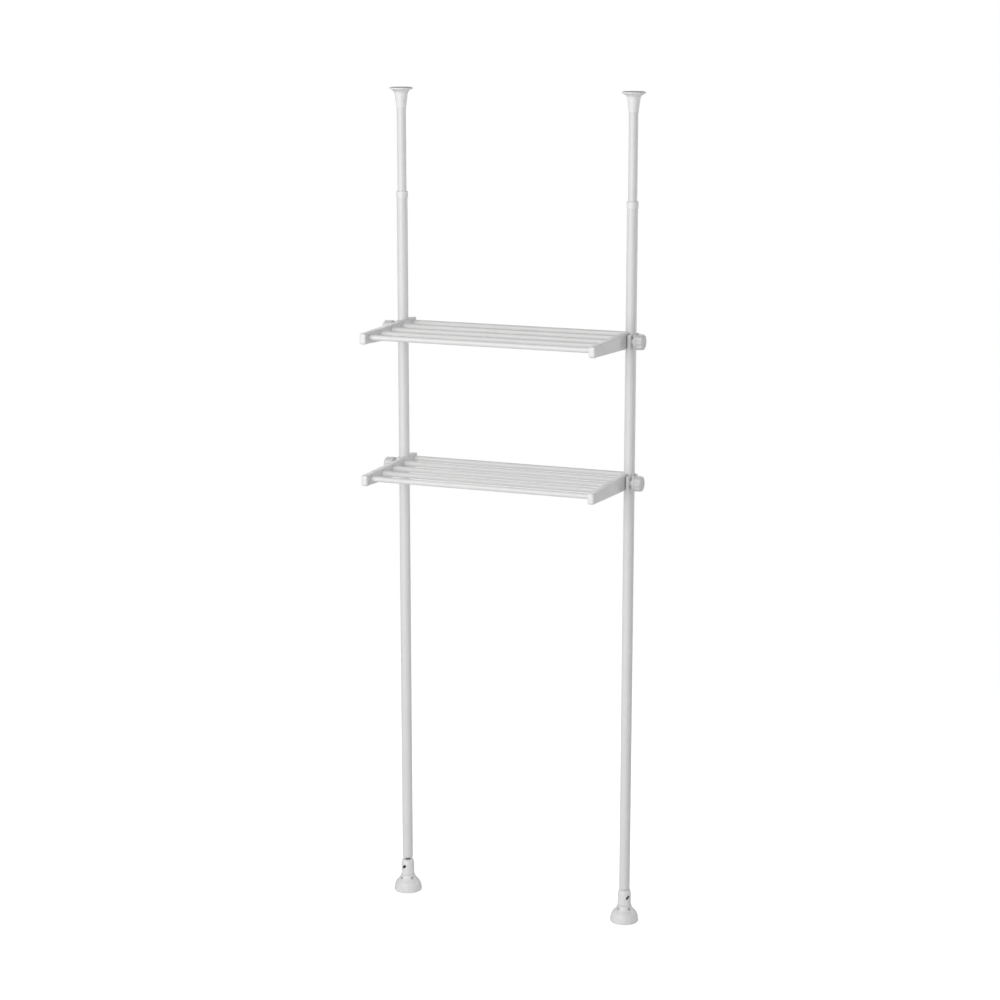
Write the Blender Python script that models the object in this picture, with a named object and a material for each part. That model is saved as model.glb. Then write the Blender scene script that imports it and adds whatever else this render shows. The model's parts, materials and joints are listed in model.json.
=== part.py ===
"""Floor-to-ceiling bathroom storage rack: two telescopic poles, two clamped shelves of round rails.

Lengths are in metres, +Z is up and -Y is the front. u is the distance from a pole's axis towards
the outside of the rack, so the shelf arms lie at negative u and the knobs at positive u.
"""
import math

import bmesh
import bpy
from mathutils import Matrix, Vector

# Overall sizes
HEIGHT = 2.050             # floor to ceiling
POLE_SPACING = 0.588       # between the two pole axes
UPPER_SHELF_TOP = 1.488    # top edge of the arms above the floor
LOWER_SHELF_TOP = 1.146

# Telescopic poles
POLE_R = 0.0130
POLE_WALL = 0.0010
TELESCOPE_GAP = 0.0011     # radial room for the collet between the two tubes
EXTENSION_WALL = 0.0010
EXTENSION_OUT = 0.2620     # from the thick tube's top to the ceiling
INSERTION = 0.290          # stretch of the thin tube that sits inside the thick one

# Clearances
FIT = 0.0003               # between pieces that touch in use
SLIDE = 0.00035            # between sliding pieces
THREAD_PLAY = 0.0004

# Jack feet
BELL_R = 0.0351
BELL_H = 0.0430
SOLE_R = 0.0313
SOLE_H = 0.0035
RIM_LIFT = 0.0012          # the rubber sole stands this far out of the bell
BELL_STEP = 0.0007         # each of the three rings round the skirt is this much smaller
NECK_R = 0.0099
GRIP_WALL = 0.0034         # the grip stands this far out of the tube above it
GRIP_H = 0.0395
GRIP_TAPER_H = 0.0085
GRIP_SHELL = 0.0034        # wall of the grip round its hollow
GRIP_NUT_H = 0.0120        # threaded end below the hollow
SLOT_LENGTH = 0.0125
SLOT_WIDTH = 0.0072
SLOT_SLANT = 38.0
SPINDLE_R = 0.0061
SPINDLE_PITCH = 0.0040
SPINDLE_DEPTH = 0.0008
SPINDLE_BOTTOM = 0.0140
SPINDLE_THREAD_L = 0.0360
PLUG_LENGTH = 0.0200
FLANGE_H = 0.0020
JACK_OPEN = {"left": 0.0062, "right": 0.0006}
GRIP_TURN = {"left": -14.0, "right": 52.0}
NOTCH_TURN = -30.0         # the first of four notches round the bell's shoulder
NOTCH_WIDTH = 0.0088
NOTCH_BOTTOM = 0.0320
NOTCH_TOP = 0.0392
NOTCH_DEPTH_R = 0.0150

# Telescope lock
COLLAR_WALL = 0.0012
COLLAR_H = 0.0165
COLLAR_OVERLAP = 0.0095    # part of the collar that goes over the thick tube
COLLET_LENGTH = 0.0380
COLLET_RIM = 0.0022
COLLET_SLIT = 10.0         # degrees left open

# Ceiling pads
PAD_R = 0.0285
PAD_H = 0.0485
PAD_STEM_WALL = 0.0027     # wall of the stem just under the cup
PAD_FACE_R = 0.0260
PAD_FACE_H = 0.0030
PAD_FACE_PROUD = 0.0010
PAD_WALL_TOP = 0.0120      # depth of the socket's closed end below the ceiling

# Shelf arms
SADDLE_DEPTH = 0.0120      # how far the pole sinks into an arm's outer face
ARM_T = 0.0150
ARM_FRONT = 0.2505         # in front of the pole axis
ARM_REAR = 0.0460          # behind the pole axis
ARM_FRONT_H = 0.0255
ARM_REAR_H = 0.0420
ARM_REAR_EDGE = 0.0250
ARM_REAR_CUT = 0.0250
ARM_EDGE = 0.0018

# Front caps
CAP_L = 0.0140
CAP_OVER = 0.0008
CAP_ROUND = 0.0048
SPIGOT_L = 0.0055
SPIGOT_INSET = 0.0040

# Rails
RAIL_R = 0.0067
RAIL_WALL = 0.0010
RAIL_COUNT = 5
RAIL_DROP = 0.0120
RAIL_REAR_Y = 0.0300
RAIL_FRONT_Y = -0.2350
SOCKET_DEPTH = 0.0090

# Clamps
STUD_R = 0.0040
STUD_AHEAD = 0.0080        # from the pole's surface forward to the stud's axis
STUD_DROP = 0.0210
STUD_SEAT = 0.0108
STUD_PITCH = 0.0025
STUD_DEPTH = 0.0005
STUD_THREAD_L = 0.0125
JAW_BACK = 0.0042          # wall of the jaw outside the pole
JAW_IN = 0.0005
JAW_LIP = 0.0100           # outer face of the lip that the stud goes through
JAW_NOSE = 0.0110
JAW_TAIL = 0.0042
JAW_H = 0.0320
LINER_T = 0.0014
LINER_H = 0.0270
LINER_ARC = 112.0
KNOB_R = 0.0191
KNOB_NECK_R = 0.0070
KNOB_L = 0.0234            # without its neck
KNOB_FLANGE_T = 0.0056
KNOB_FLUTES = 8
KNOB_FLUTE_DEPTH = 0.0021

POLE_BORE = POLE_R - POLE_WALL
EXTENSION_R = POLE_BORE - TELESCOPE_GAP
COLLAR_R = POLE_R + COLLAR_WALL
GRIP_R = POLE_R + GRIP_WALL
ARM_U = SADDLE_DEPTH - POLE_R        # outer face of an arm
STUD_Y = -POLE_R - STUD_AHEAD
JAW_OUT = POLE_R + JAW_BACK
POLE_X = POLE_SPACING / 2
POLE_Y = (ARM_FRONT + FIT + CAP_L - ARM_REAR) / 2
SIDES = {"left": -1, "right": 1}
SHELVES = {"upper": UPPER_SHELF_TOP, "lower": LOWER_SHELF_TOP}
FOOT_STACK = BELL_H + FIT + GRIP_H + FLANGE_H + FIT
POLE_LENGTH = HEIGHT - FOOT_STACK - EXTENSION_OUT
EXTENSION_BOTTOM = FOOT_STACK + POLE_LENGTH - INSERTION

MATERIALS = {
    "white_coated_steel": ((0.84, 0.84, 0.83), 0.0, 0.34),
    "white_plastic": ((0.88, 0.88, 0.87), 0.0, 0.28),
    "grey_plastic": ((0.62, 0.63, 0.64), 0.0, 0.42),
    "pale_rubber": ((0.50, 0.50, 0.50), 0.0, 0.78),
    "dark_steel": ((0.13, 0.13, 0.14), 0.85, 0.42),
    "plated_steel": ((0.55, 0.56, 0.58), 1.0, 0.30),
}


def clear_scene():
    for obj in list(bpy.data.objects):
        bpy.data.objects.remove(obj, do_unlink=True)


def finish_for(node, recipe):
    """A Principled material that belongs to one named piece."""
    colour, metal, rough = MATERIALS[recipe]
    mat = bpy.data.materials.new(node + "_" + recipe)
    mat.use_nodes = True
    shader = mat.node_tree.nodes["Principled BSDF"]
    shader.inputs["Base Color"].default_value = (*colour, 1.0)
    shader.inputs["Metallic"].default_value = metal
    shader.inputs["Roughness"].default_value = rough
    mat.diffuse_color = (*colour, 1.0)
    return mat


def add_piece(name, bm, location, recipe, smooth_angle=35.0):
    """Close a bmesh into a named object whose origin is at location."""
    bmesh.ops.remove_doubles(bm, verts=bm.verts[:], dist=1e-6)
    bmesh.ops.recalc_face_normals(bm, faces=bm.faces[:])
    limit = math.radians(smooth_angle)
    for face in bm.faces:
        face.smooth = True
    for edge in bm.edges:
        edge.smooth = len(edge.link_faces) == 2 and edge.calc_face_angle(0.0) < limit
    mesh = bpy.data.meshes.new(name)
    bm.to_mesh(mesh)
    bm.free()
    obj = bpy.data.objects.new(name, mesh)
    obj.location = location
    bpy.context.scene.collection.objects.link(obj)
    if recipe:
        mesh.materials.append(finish_for(name, recipe))
    return obj


def add_cutter(name, bm, location):
    obj = add_piece(name, bm, location, None)
    obj.hide_render = True
    obj.display_type = "WIRE"
    return obj


def cut(obj, cutter, operation="DIFFERENCE"):
    mod = obj.modifiers.new(cutter.name, "BOOLEAN")
    mod.operation = operation
    mod.solver = "EXACT"
    mod.object = cutter


def soften(obj, width):
    mod = obj.modifiers.new("softened edges", "BEVEL")
    mod.width = width
    mod.segments = 2
    mod.limit_method = "ANGLE"
    mod.angle_limit = math.radians(50.0)


def rounded(corners, steps=3):
    """Outline through (a, b, radius) corners, each turned into an arc of its radius."""
    outline = []
    count = len(corners)
    for i, (a, b, radius) in enumerate(corners):
        here = Vector((a, b))
        if radius <= 0.0:
            outline.append((a, b))
            continue
        before = (Vector(corners[i - 1][:2]) - here).normalized()
        after = (Vector(corners[(i + 1) % count][:2]) - here).normalized()
        half = before.angle(after) / 2
        reach = radius / math.tan(half)
        centre = here + (before + after).normalized() * (radius / math.sin(half))
        start = here + before * reach - centre
        turn = start.angle_signed(here + after * reach - centre)
        for k in range(steps + 1):
            point = start.copy()
            point.rotate(Matrix.Rotation(-turn * k / steps, 2))
            outline.append(tuple(centre + point))
    return outline


def outline_mesh(bm, outline, to_point):
    verts = [bm.verts.new(to_point(a, b)) for a, b in outline]
    edges = [bm.edges.new((verts[i - 1], verts[i])) for i in range(len(verts))]
    return verts, edges


def revolved(outline, segments, sweep=360.0):
    """Solid of revolution about local Z from a closed (radius, height) outline."""
    bm = bmesh.new()
    verts, edges = outline_mesh(bm, outline, lambda r, h: (r, 0.0, h))
    bmesh.ops.spin(bm, geom=verts + edges, cent=(0, 0, 0), axis=(0, 0, 1), dvec=(0, 0, 0),
                   angle=math.radians(sweep), steps=segments, use_merge=sweep >= 360.0,
                   use_duplicate=False)
    bmesh.ops.remove_doubles(bm, verts=bm.verts[:], dist=1e-6)
    if sweep < 360.0:
        bmesh.ops.holes_fill(bm, edges=[e for e in bm.edges if e.is_boundary], sides=0)
    return bm


def turned(bm, angle):
    bmesh.ops.rotate(bm, verts=bm.verts[:], cent=(0, 0, 0),
                     matrix=Matrix.Rotation(math.radians(angle), 3, "Z"))
    return bm


def along_x(bm, side):
    """Lay a solid of revolution down so that its local +Z points to the outside of one side."""
    bmesh.ops.transform(bm, verts=bm.verts[:], matrix=Matrix.Rotation(side * math.pi / 2, 4, "Y"))
    return bm


def extruded(outline, to_point, travel):
    """Prism: an outline in one plane carried along travel."""
    bm = bmesh.new()
    verts, _ = outline_mesh(bm, outline, to_point)
    face = bm.faces.new(verts)
    grown = bmesh.ops.extrude_face_region(bm, geom=[face])
    moved = [g for g in grown["geom"] if isinstance(g, bmesh.types.BMVert)]
    bmesh.ops.translate(bm, verts=moved, vec=travel)
    return bm


def cylinder(bm, radius, start, end, segments):
    """Add one capped cylinder between two points."""
    start, end = Vector(start), Vector(end)
    turn = (end - start).to_track_quat("Z", "Y").to_matrix().to_4x4()
    bmesh.ops.create_cone(bm, cap_ends=True, segments=segments, radius1=radius, radius2=radius,
                          depth=(end - start).length,
                          matrix=Matrix.Translation((start + end) / 2) @ turn)


def thread_wave(phase):
    """Trapezoidal thread: 1 on the crest, 0 in the root."""
    phase %= 1.0
    return min(1.0, max(0.0, 2.0 - abs(phase - 0.5) * 6.0))


def threaded_rod(stations, pitch, depth, segments):
    """Rod about local Z through (height, radius, threaded) stations, bottom to top."""
    rings = []
    for (z0, r0, cut_here), (z1, r1, _) in zip(stations, stations[1:]):
        if not cut_here:
            rings += [(z0, r0, False), (z1, r1, False)]
            continue
        count = round((z1 - z0) / (pitch / 4))
        rings += [(z0 + (z1 - z0) * k / count, r0, True) for k in range(1, count)]
    bm = bmesh.new()
    loops = []
    for z, radius, cut_here in rings:
        loop = []
        for k in range(segments):
            angle = 2 * math.pi * k / segments
            r = radius
            if cut_here:
                r += depth * thread_wave(z / pitch - k / segments)
            loop.append(bm.verts.new((r * math.cos(angle), r * math.sin(angle), z)))
        loops.append(loop)
    for low, high in zip(loops, loops[1:]):
        for k in range(segments):
            bm.faces.new((low[k - 1], low[k], high[k], high[k - 1]))
    bm.faces.new(loops[0][::-1])
    bm.faces.new(loops[-1])
    return bm


def tube_outline(radius, wall, bottom, top):
    return [(radius, bottom), (radius, top), (radius - wall, top), (radius - wall, bottom)]


def pole_bottom(name):
    return FOOT_STACK + JACK_OPEN[name]


def build_foot(name, side):
    """Bell foot, rubber sole, swivelling grip, fixed spindle and the plug in the tube."""
    base = Vector((side * POLE_X, POLE_Y, 0.0))
    neck = NECK_R + FIT + 0.0002
    ring = [BELL_R - BELL_STEP * k for k in range(4)]
    bell = rounded([
        (SOLE_R + FIT, RIM_LIFT, 0.0), (ring[0], RIM_LIFT, 0.0008), (ring[0], 0.0072, 0.0),
        (ring[1], 0.0078, 0.0), (ring[1], 0.0114, 0.0), (ring[2], 0.0120, 0.0),
        (ring[2] - 0.0002, 0.0156, 0.0), (ring[3] - 0.0003, 0.0162, 0.0),
        (ring[3] - 0.0010, 0.0190, 0.0), (ring[3] - 0.0026, 0.0226, 0.0),
        (ring[3] - 0.0050, 0.0258, 0.0), (ring[3] - 0.0080, 0.0288, 0.0),
        (GRIP_R + 0.0056, BELL_H - 0.0108, 0.0), (GRIP_R + 0.0034, BELL_H - 0.0070, 0.0),
        (GRIP_R + 0.0018, BELL_H - 0.0030, 0.0), (GRIP_R + 0.0010, BELL_H - 0.0006, 0.0),
        (GRIP_R + 0.0002, BELL_H, 0.0), (neck, BELL_H, 0.0), (neck, BELL_H - 0.0105, 0.0),
        (0.0180, BELL_H - 0.0140, 0.0), (0.0258, 0.0205, 0.0), (SOLE_R - 0.0022, 0.0120, 0.0),
        (SOLE_R - 0.0030, SOLE_H + FIT, 0.0), (SOLE_R + FIT, SOLE_H + FIT, 0.0)], steps=1)
    foot = add_piece("foot_" + name, revolved(bell, 26), base, "white_plastic", 30.0)
    notches = bmesh.new()
    for way in [NOTCH_TURN + 90.0 * k for k in range(4)]:
        low = Vector((NOTCH_DEPTH_R, -NOTCH_WIDTH / 2, NOTCH_BOTTOM))
        high = Vector((NOTCH_DEPTH_R + 0.010, NOTCH_WIDTH / 2, NOTCH_TOP))
        box = bmesh.ops.create_cube(notches, size=1.0)["verts"]
        place = Matrix.Translation((low + high) / 2) @ Matrix.Diagonal((*(high - low), 1.0))
        spin = Matrix.Rotation(math.radians(way), 4, "Z")
        bmesh.ops.transform(notches, verts=box, matrix=spin @ place)
    cut(foot, add_cutter("foot_notches_" + name, notches, base))
    sole = [(0.0090, 0.0), (SOLE_R - 0.0010, 0.0), (SOLE_R, 0.0010), (SOLE_R, SOLE_H),
            (0.0090, SOLE_H)]
    add_piece("foot_sole_" + name, revolved(sole, 24), base, "pale_rubber")

    seat = BELL_H + FIT
    bore = SPINDLE_R + THREAD_PLAY
    lip_top = BELL_H - 0.0105 - FIT
    hollow = GRIP_R - GRIP_SHELL
    grip = [(bore, lip_top - 0.0030 - seat), (NECK_R - 0.0010, lip_top - 0.0030 - seat),
            (NECK_R + 0.0011, lip_top - 0.0018 - seat), (NECK_R + 0.0011, lip_top - seat),
            (NECK_R, lip_top - seat), (NECK_R, 0.0), (GRIP_R - 0.0006, 0.0), (GRIP_R, 0.0006),
            (GRIP_R, GRIP_H - GRIP_TAPER_H), (GRIP_R - 0.0007, GRIP_H - GRIP_TAPER_H + 0.0009),
            (POLE_R + 0.0010, GRIP_H - 0.0008), (POLE_R, GRIP_H), (bore, GRIP_H),
            (bore, GRIP_H - 0.0045), (hollow, GRIP_H - 0.0085), (hollow, GRIP_NUT_H),
            (bore, GRIP_NUT_H)]
    grip_obj = add_piece("jack_grip_" + name, revolved(grip, 24), base + Vector((0, 0, seat)),
                         "white_plastic", 30.0)
    aim = Matrix.Rotation(math.radians(GRIP_TURN[name]), 3, "Z") @ Vector((0, -1, 0))
    along = Matrix.Rotation(math.radians(SLOT_SLANT), 3, aim) @ aim.cross(Vector((0, 0, -1)))
    start = Vector((0, 0, (GRIP_H - GRIP_TAPER_H) * 0.70)) + aim * (bore + 0.0010)
    half, end_r = SLOT_LENGTH / 2, SLOT_WIDTH / 2
    oval = rounded([(-half, -end_r, end_r * 0.99), (half, -end_r, end_r * 0.99),
                    (half, end_r, end_r * 0.99), (-half, end_r, end_r * 0.99)], steps=3)
    slot = extruded(oval, lambda a, b: start + along * a + aim.cross(along) * b,
                    aim * (GRIP_R + 0.002))
    cut(grip_obj, add_cutter("grip_slot_" + name, slot, grip_obj.location))

    end = pole_bottom(name)
    bore = SPINDLE_R + FIT
    plug_r = POLE_R - POLE_WALL - FIT
    plug = [(bore, -FLANGE_H - FIT), (POLE_R - 0.0004, -FLANGE_H - FIT), (POLE_R, -FLANGE_H + 0.0001),
            (POLE_R, -FIT), (plug_r, -FIT), (plug_r, PLUG_LENGTH - 0.0010),
            (plug_r - 0.0010, PLUG_LENGTH), (bore, PLUG_LENGTH)]
    add_piece("jack_plug_" + name, revolved(plug, 16), base + Vector((0, 0, end)), "white_plastic")
    top = PLUG_LENGTH + FIT
    root = SPINDLE_R - SPINDLE_DEPTH
    neck = -FLANGE_H - 0.0008
    spindle = threaded_rod(
        [(SPINDLE_BOTTOM - end, root - 0.0008, False), (SPINDLE_BOTTOM - end + 0.0010, root, False),
         (neck - SPINDLE_THREAD_L, root, True), (neck, root, False), (-FLANGE_H, SPINDLE_R, False),
         (top, SPINDLE_R, False), (top, SPINDLE_R + 0.0030, False),
         (top + 0.0030, SPINDLE_R + 0.0030, False), (top + 0.0036, SPINDLE_R + 0.0022, False)],
        SPINDLE_PITCH, SPINDLE_DEPTH, 10)
    add_piece("jack_spindle_" + name, spindle, base + Vector((0, 0, end)), "dark_steel", 25.0)


def build_pole(name, side):
    """Thick tube, thin tube with its bush, twist lock and the pad against the ceiling."""
    bottom = pole_bottom(name)
    base = Vector((side * POLE_X, POLE_Y, bottom))
    add_piece("lower_pole_" + name, revolved(tube_outline(POLE_R, POLE_WALL, 0.0, POLE_LENGTH), 28),
              base, "white_coated_steel")

    top = base + Vector((0, 0, POLE_LENGTH))
    inner = EXTENSION_R + SLIDE
    outer = POLE_R - POLE_WALL - FIT
    collet = [(inner, -COLLET_LENGTH), (outer, -COLLET_LENGTH), (outer, FIT), (POLE_R, FIT),
              (POLE_R, COLLET_RIM), (inner, COLLET_RIM)]
    add_piece("lock_collet_" + name, turned(revolved(collet, 20, 360.0 - COLLET_SLIT), 95.0), top,
              "grey_plastic")
    over = COLLAR_H - COLLAR_OVERLAP
    collar = rounded([
        (POLE_R + SLIDE, -COLLAR_OVERLAP, 0.0), (COLLAR_R, -COLLAR_OVERLAP, 0.0005),
        (COLLAR_R, over, 0.0022), (inner, over, 0.0), (inner, COLLET_RIM + FIT, 0.0),
        (POLE_R + SLIDE, COLLET_RIM + FIT, 0.0)], steps=2)
    add_piece("lock_collar_" + name, revolved(collar, 24), top, "white_plastic")

    thin = Vector((base.x, base.y, EXTENSION_BOTTOM))
    length = HEIGHT - PAD_WALL_TOP - FIT - EXTENSION_BOTTOM
    add_piece("upper_pole_" + name,
              revolved(tube_outline(EXTENSION_R, EXTENSION_WALL, 0.0, length), 28), thin,
              "white_coated_steel")
    spigot = EXTENSION_R - EXTENSION_WALL - FIT
    bush = [(0.0060, -0.0060), (outer - 0.0006, -0.0060), (outer, -0.0054), (outer, -FIT),
            (spigot, -FIT), (spigot, 0.0160), (0.0060, 0.0160)]
    add_piece("pole_bush_" + name, revolved(bush, 16), thin, "grey_plastic")

    ceiling = Vector((base.x, base.y, HEIGHT))
    socket = EXTENSION_R + FIT
    stem = socket + PAD_STEM_WALL
    pad = [(PAD_FACE_R + FIT, -PAD_FACE_PROUD), (PAD_R - 0.0004, -PAD_FACE_PROUD),
           (PAD_R, -PAD_FACE_PROUD - 0.0005), (PAD_R, -0.0036), (PAD_R - 0.0012, -0.0042),
           (PAD_R - 0.0050, -0.0062), (PAD_R - 0.0085, -0.0084), (stem + 0.0032, -0.0112),
           (stem + 0.0017, -0.0162), (stem + 0.0009, -0.0222), (stem, -0.0290),
           (stem - 0.0009, -0.0355), (stem - 0.0018, -0.0440), (socket + 0.0006, -PAD_H + 0.0006),
           (socket + 0.0003, -PAD_H), (socket, -PAD_H), (socket, -PAD_WALL_TOP),
           (0.0040, -PAD_WALL_TOP), (0.0040, -PAD_FACE_H - FIT),
           (PAD_FACE_R + FIT, -PAD_FACE_H - FIT)]
    add_piece("ceiling_pad_" + name, revolved(pad, 24), ceiling, "white_plastic", 30.0)
    face = [(0.0, -0.0010), (0.0060, -0.0010), (0.0068, 0.0), (PAD_FACE_R - 0.0006, 0.0),
            (PAD_FACE_R, -0.0006), (PAD_FACE_R, -PAD_FACE_H), (0.0, -PAD_FACE_H)]
    add_piece("ceiling_grip_" + name, revolved(face, 24), ceiling, "pale_rubber")


def rail_positions():
    step = (RAIL_FRONT_Y - RAIL_REAR_Y) / (RAIL_COUNT - 1)
    return [RAIL_REAR_Y + step * i for i in range(RAIL_COUNT)]


def build_arm(shelf, name, side, top):
    """Tapered arm with blind sockets for the rails, a saddle for the pole and its front cap."""
    base = Vector((side * POLE_X, POLE_Y, top))
    inner = ARM_U - ARM_T

    def plan(y, z):
        return (side * inner, y, z)

    outline = rounded([
        (-ARM_FRONT, 0.0, 0.0), (-ARM_FRONT, -ARM_FRONT_H, 0.0),
        (ARM_REAR - ARM_REAR_CUT, -ARM_REAR_H, 0.0060), (ARM_REAR, -ARM_REAR_EDGE, 0.0050),
        (ARM_REAR, 0.0, 0.0040)], steps=3)
    arm = add_piece("arm_%s_%s" % (shelf, name),
                    extruded(outline, plan, (side * ARM_T, 0, 0)), base, "white_plastic")
    soften(arm, ARM_EDGE)

    bores = bmesh.new()
    for y in rail_positions():
        cylinder(bores, RAIL_R + FIT, (side * (inner - 0.005), y, -RAIL_DROP),
                 (side * (inner + SOCKET_DEPTH), y, -RAIL_DROP), 14)
    cylinder(bores, POLE_R + SLIDE, (0, 0, -0.06), (0, 0, 0.02), 28)
    cylinder(bores, STUD_R + FIT, (side * 0.002, STUD_Y, -STUD_DROP),
             (side * (ARM_U - STUD_SEAT), STUD_Y, -STUD_DROP), 12)
    cut(arm, add_cutter("arm_bores_%s_%s" % (shelf, name), bores, base))

    inset = SPIGOT_INSET
    pocket_size = (inset - FIT, -ARM_FRONT - 0.004, -ARM_FRONT + SPIGOT_L + FIT)
    cut(arm, add_cutter("cap_pocket_%s_%s" % (shelf, name), spigot_block(side, *pocket_size), base))

    over = CAP_OVER
    front, back = -ARM_FRONT - FIT - CAP_L, -ARM_FRONT - FIT
    profile = rounded([
        (back, over, 0.0), (front, over, 0.0050), (front, -ARM_FRONT_H - over, 0.0070),
        (back, -ARM_FRONT_H - over, 0.0)], steps=3)
    block = extruded(profile, lambda y, z: (side * (inner - over), y, z),
                     (side * (ARM_T + 2 * over), 0, 0))
    bmesh.ops.recalc_face_normals(block, faces=block.faces[:])
    rims = [e for e in block.edges if e.calc_face_angle() > math.radians(50.0)
            and min(v.co.y for v in e.verts) < back - 1e-6]
    bmesh.ops.bevel(block, geom=rims, offset=CAP_ROUND, segments=2, profile=0.5, affect="EDGES")
    cap = add_piece("arm_cap_%s_%s" % (shelf, name), block, base, "white_plastic", 50.0)
    spigot = spigot_block(side, inset, back - 0.004, -ARM_FRONT + SPIGOT_L)
    cut(cap, add_cutter("cap_spigot_%s_%s" % (shelf, name), spigot, base), "UNION")


def spigot_block(side, inset, front, back):
    """Block inset from the arm's section, for the cap's spigot and for its pocket."""
    low, high = -ARM_FRONT_H + inset, -inset
    outline = [(front, low), (back, low), (back, high), (front, high)]
    start = side * (ARM_U - ARM_T + inset)
    return extruded(outline, lambda y, z: (start, y, z), (side * (ARM_T - 2 * inset), 0, 0))


def build_rails(shelf, top):
    half = POLE_X + ARM_U - ARM_T + SOCKET_DEPTH - FIT
    for i, y in enumerate(rail_positions()):
        bm = along_x(revolved(tube_outline(RAIL_R, RAIL_WALL, -half, half), 16), 1)
        add_piece("rail_%s_%d" % (shelf, i + 1), bm, (0.0, POLE_Y + y, top - RAIL_DROP),
                  "white_coated_steel")


def build_clamp(shelf, name, side, top):
    """Screw clamp: stud fixed in the arm, saddle jaw with a soft liner, fluted knob."""
    base = Vector((side * POLE_X, POLE_Y, top - STUD_DROP))
    groove = POLE_R + SLIDE + LINER_T + FIT
    front, rear = STUD_Y - JAW_NOSE, POLE_R + JAW_TAIL
    step = STUD_Y + KNOB_NECK_R + FIT
    outline = rounded([
        (JAW_IN, front, 0.0020), (JAW_LIP, front, 0.0036), (JAW_LIP, step, 0.0),
        (JAW_OUT, step, 0.0030), (JAW_OUT, rear, 0.0060), (JAW_IN, rear, 0.0)], steps=3)
    jaw = add_piece("clamp_jaw_%s_%s" % (shelf, name),
                    extruded(outline, lambda u, y: (side * u, y, -JAW_H / 2), (0, 0, JAW_H)),
                    base, "white_plastic")
    soften(jaw, 0.0010)
    bores = bmesh.new()
    cylinder(bores, groove, (0, 0, -JAW_H), (0, 0, JAW_H), 28)
    cylinder(bores, STUD_R + THREAD_PLAY, (side * (JAW_IN - 0.003), STUD_Y, 0),
             (side * (JAW_OUT + 0.003), STUD_Y, 0), 12)
    cut(jaw, add_cutter("jaw_bores_%s_%s" % (shelf, name), bores, base))

    ring = [(POLE_R + SLIDE, -LINER_H / 2), (groove - FIT, -LINER_H / 2),
            (groove - FIT, LINER_H / 2), (POLE_R + SLIDE, LINER_H / 2)]
    facing = -LINER_ARC / 2 if side > 0 else 180.0 - LINER_ARC / 2
    add_piece("clamp_liner_%s_%s" % (shelf, name),
              turned(revolved(ring, 9, LINER_ARC), facing), base, "pale_rubber", 40.0)

    axis = base + Vector((0, STUD_Y, 0))
    inner_end = ARM_U - STUD_SEAT + FIT
    flange = JAW_OUT + FIT
    tip = flange + KNOB_L - 0.0050
    root = STUD_R - STUD_DEPTH
    stud = threaded_rod(
        [(inner_end, root, False), (inner_end + 0.0006, STUD_R, False),
         (tip - STUD_THREAD_L - 0.0006, STUD_R, False), (tip - STUD_THREAD_L, root, True),
         (tip - 0.0006, root, False), (tip, root - 0.0004, False)],
        STUD_PITCH, STUD_DEPTH, 8)
    add_piece("clamp_stud_%s_%s" % (shelf, name), along_x(stud, side), axis, "plated_steel", 25.0)
    add_piece("clamp_knob_%s_%s" % (shelf, name),
              along_x(fluted_knob(flange, tip), side), axis, "grey_plastic", 40.0)


def fluted_knob(flange, tip):
    """Fluted knob: neck towards the jaw's lip, round flange, groove, fluted drum, blind bore."""
    bore, neck, end = STUD_R + THREAD_PLAY, JAW_LIP + FIT, flange + KNOB_L
    groove = flange + KNOB_FLANGE_T
    outline = [(bore, neck), (KNOB_NECK_R, neck), (KNOB_NECK_R, flange), (KNOB_R - 0.0012, flange),
               (KNOB_R, flange + 0.0010), (KNOB_R, groove - 0.0006), (KNOB_R - 0.0009, groove),
               (KNOB_R - 0.0009, groove + 0.0006), (KNOB_R, groove + 0.0014),
               (KNOB_R - 0.0003, end - 0.0046), (KNOB_R - 0.0024, end - 0.0014),
               (KNOB_R - 0.0068, end), (0.0, end - 0.0008), (0.0, tip + 0.0018), (bore, tip + 0.0006)]
    bm = revolved(outline, KNOB_FLUTES * 4)
    for vert in bm.verts:
        radius = math.hypot(vert.co.x, vert.co.y)
        if radius < KNOB_NECK_R + 0.0002 or vert.co.z < groove + 0.0010:
            continue
        wave = 0.5 - 0.5 * math.cos(KNOB_FLUTES * math.atan2(vert.co.y, vert.co.x))
        share = min(1.0, (radius - KNOB_NECK_R) / (KNOB_R - KNOB_NECK_R - 0.0012))
        keep = 1.0 - KNOB_FLUTE_DEPTH * share * wave ** 2 / radius
        vert.co.x *= keep
        vert.co.y *= keep
    return bm


def main():
    clear_scene()
    for name, side in SIDES.items():
        build_foot(name, side)
        build_pole(name, side)
    for shelf, top in SHELVES.items():
        build_rails(shelf, top)
        for name, side in SIDES.items():
            build_arm(shelf, name, side, top)
            build_clamp(shelf, name, side, top)


main()
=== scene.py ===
# %% [markdown]
# # A bathroom storage rack, dressed for its portrait
#
# The rack stands between floor and ceiling on two telescopic poles, and carries two shelves of round
# rails. The solids were made before this file runs, so they arrive here as a finished frame.
# This lesson builds the visible skins on that frame: the same tubes, arms, feet and knobs, with the soft
# edges, grooves and finishes that make moulded plastic and powder-coated steel look real.
#
# We read sizes from the frame wherever we can. If a tube gets thicker there, its skin follows by itself.

# %% Load the frame
import json
import math

import bmesh
import bpy
from mathutils import Matrix, Vector

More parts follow.
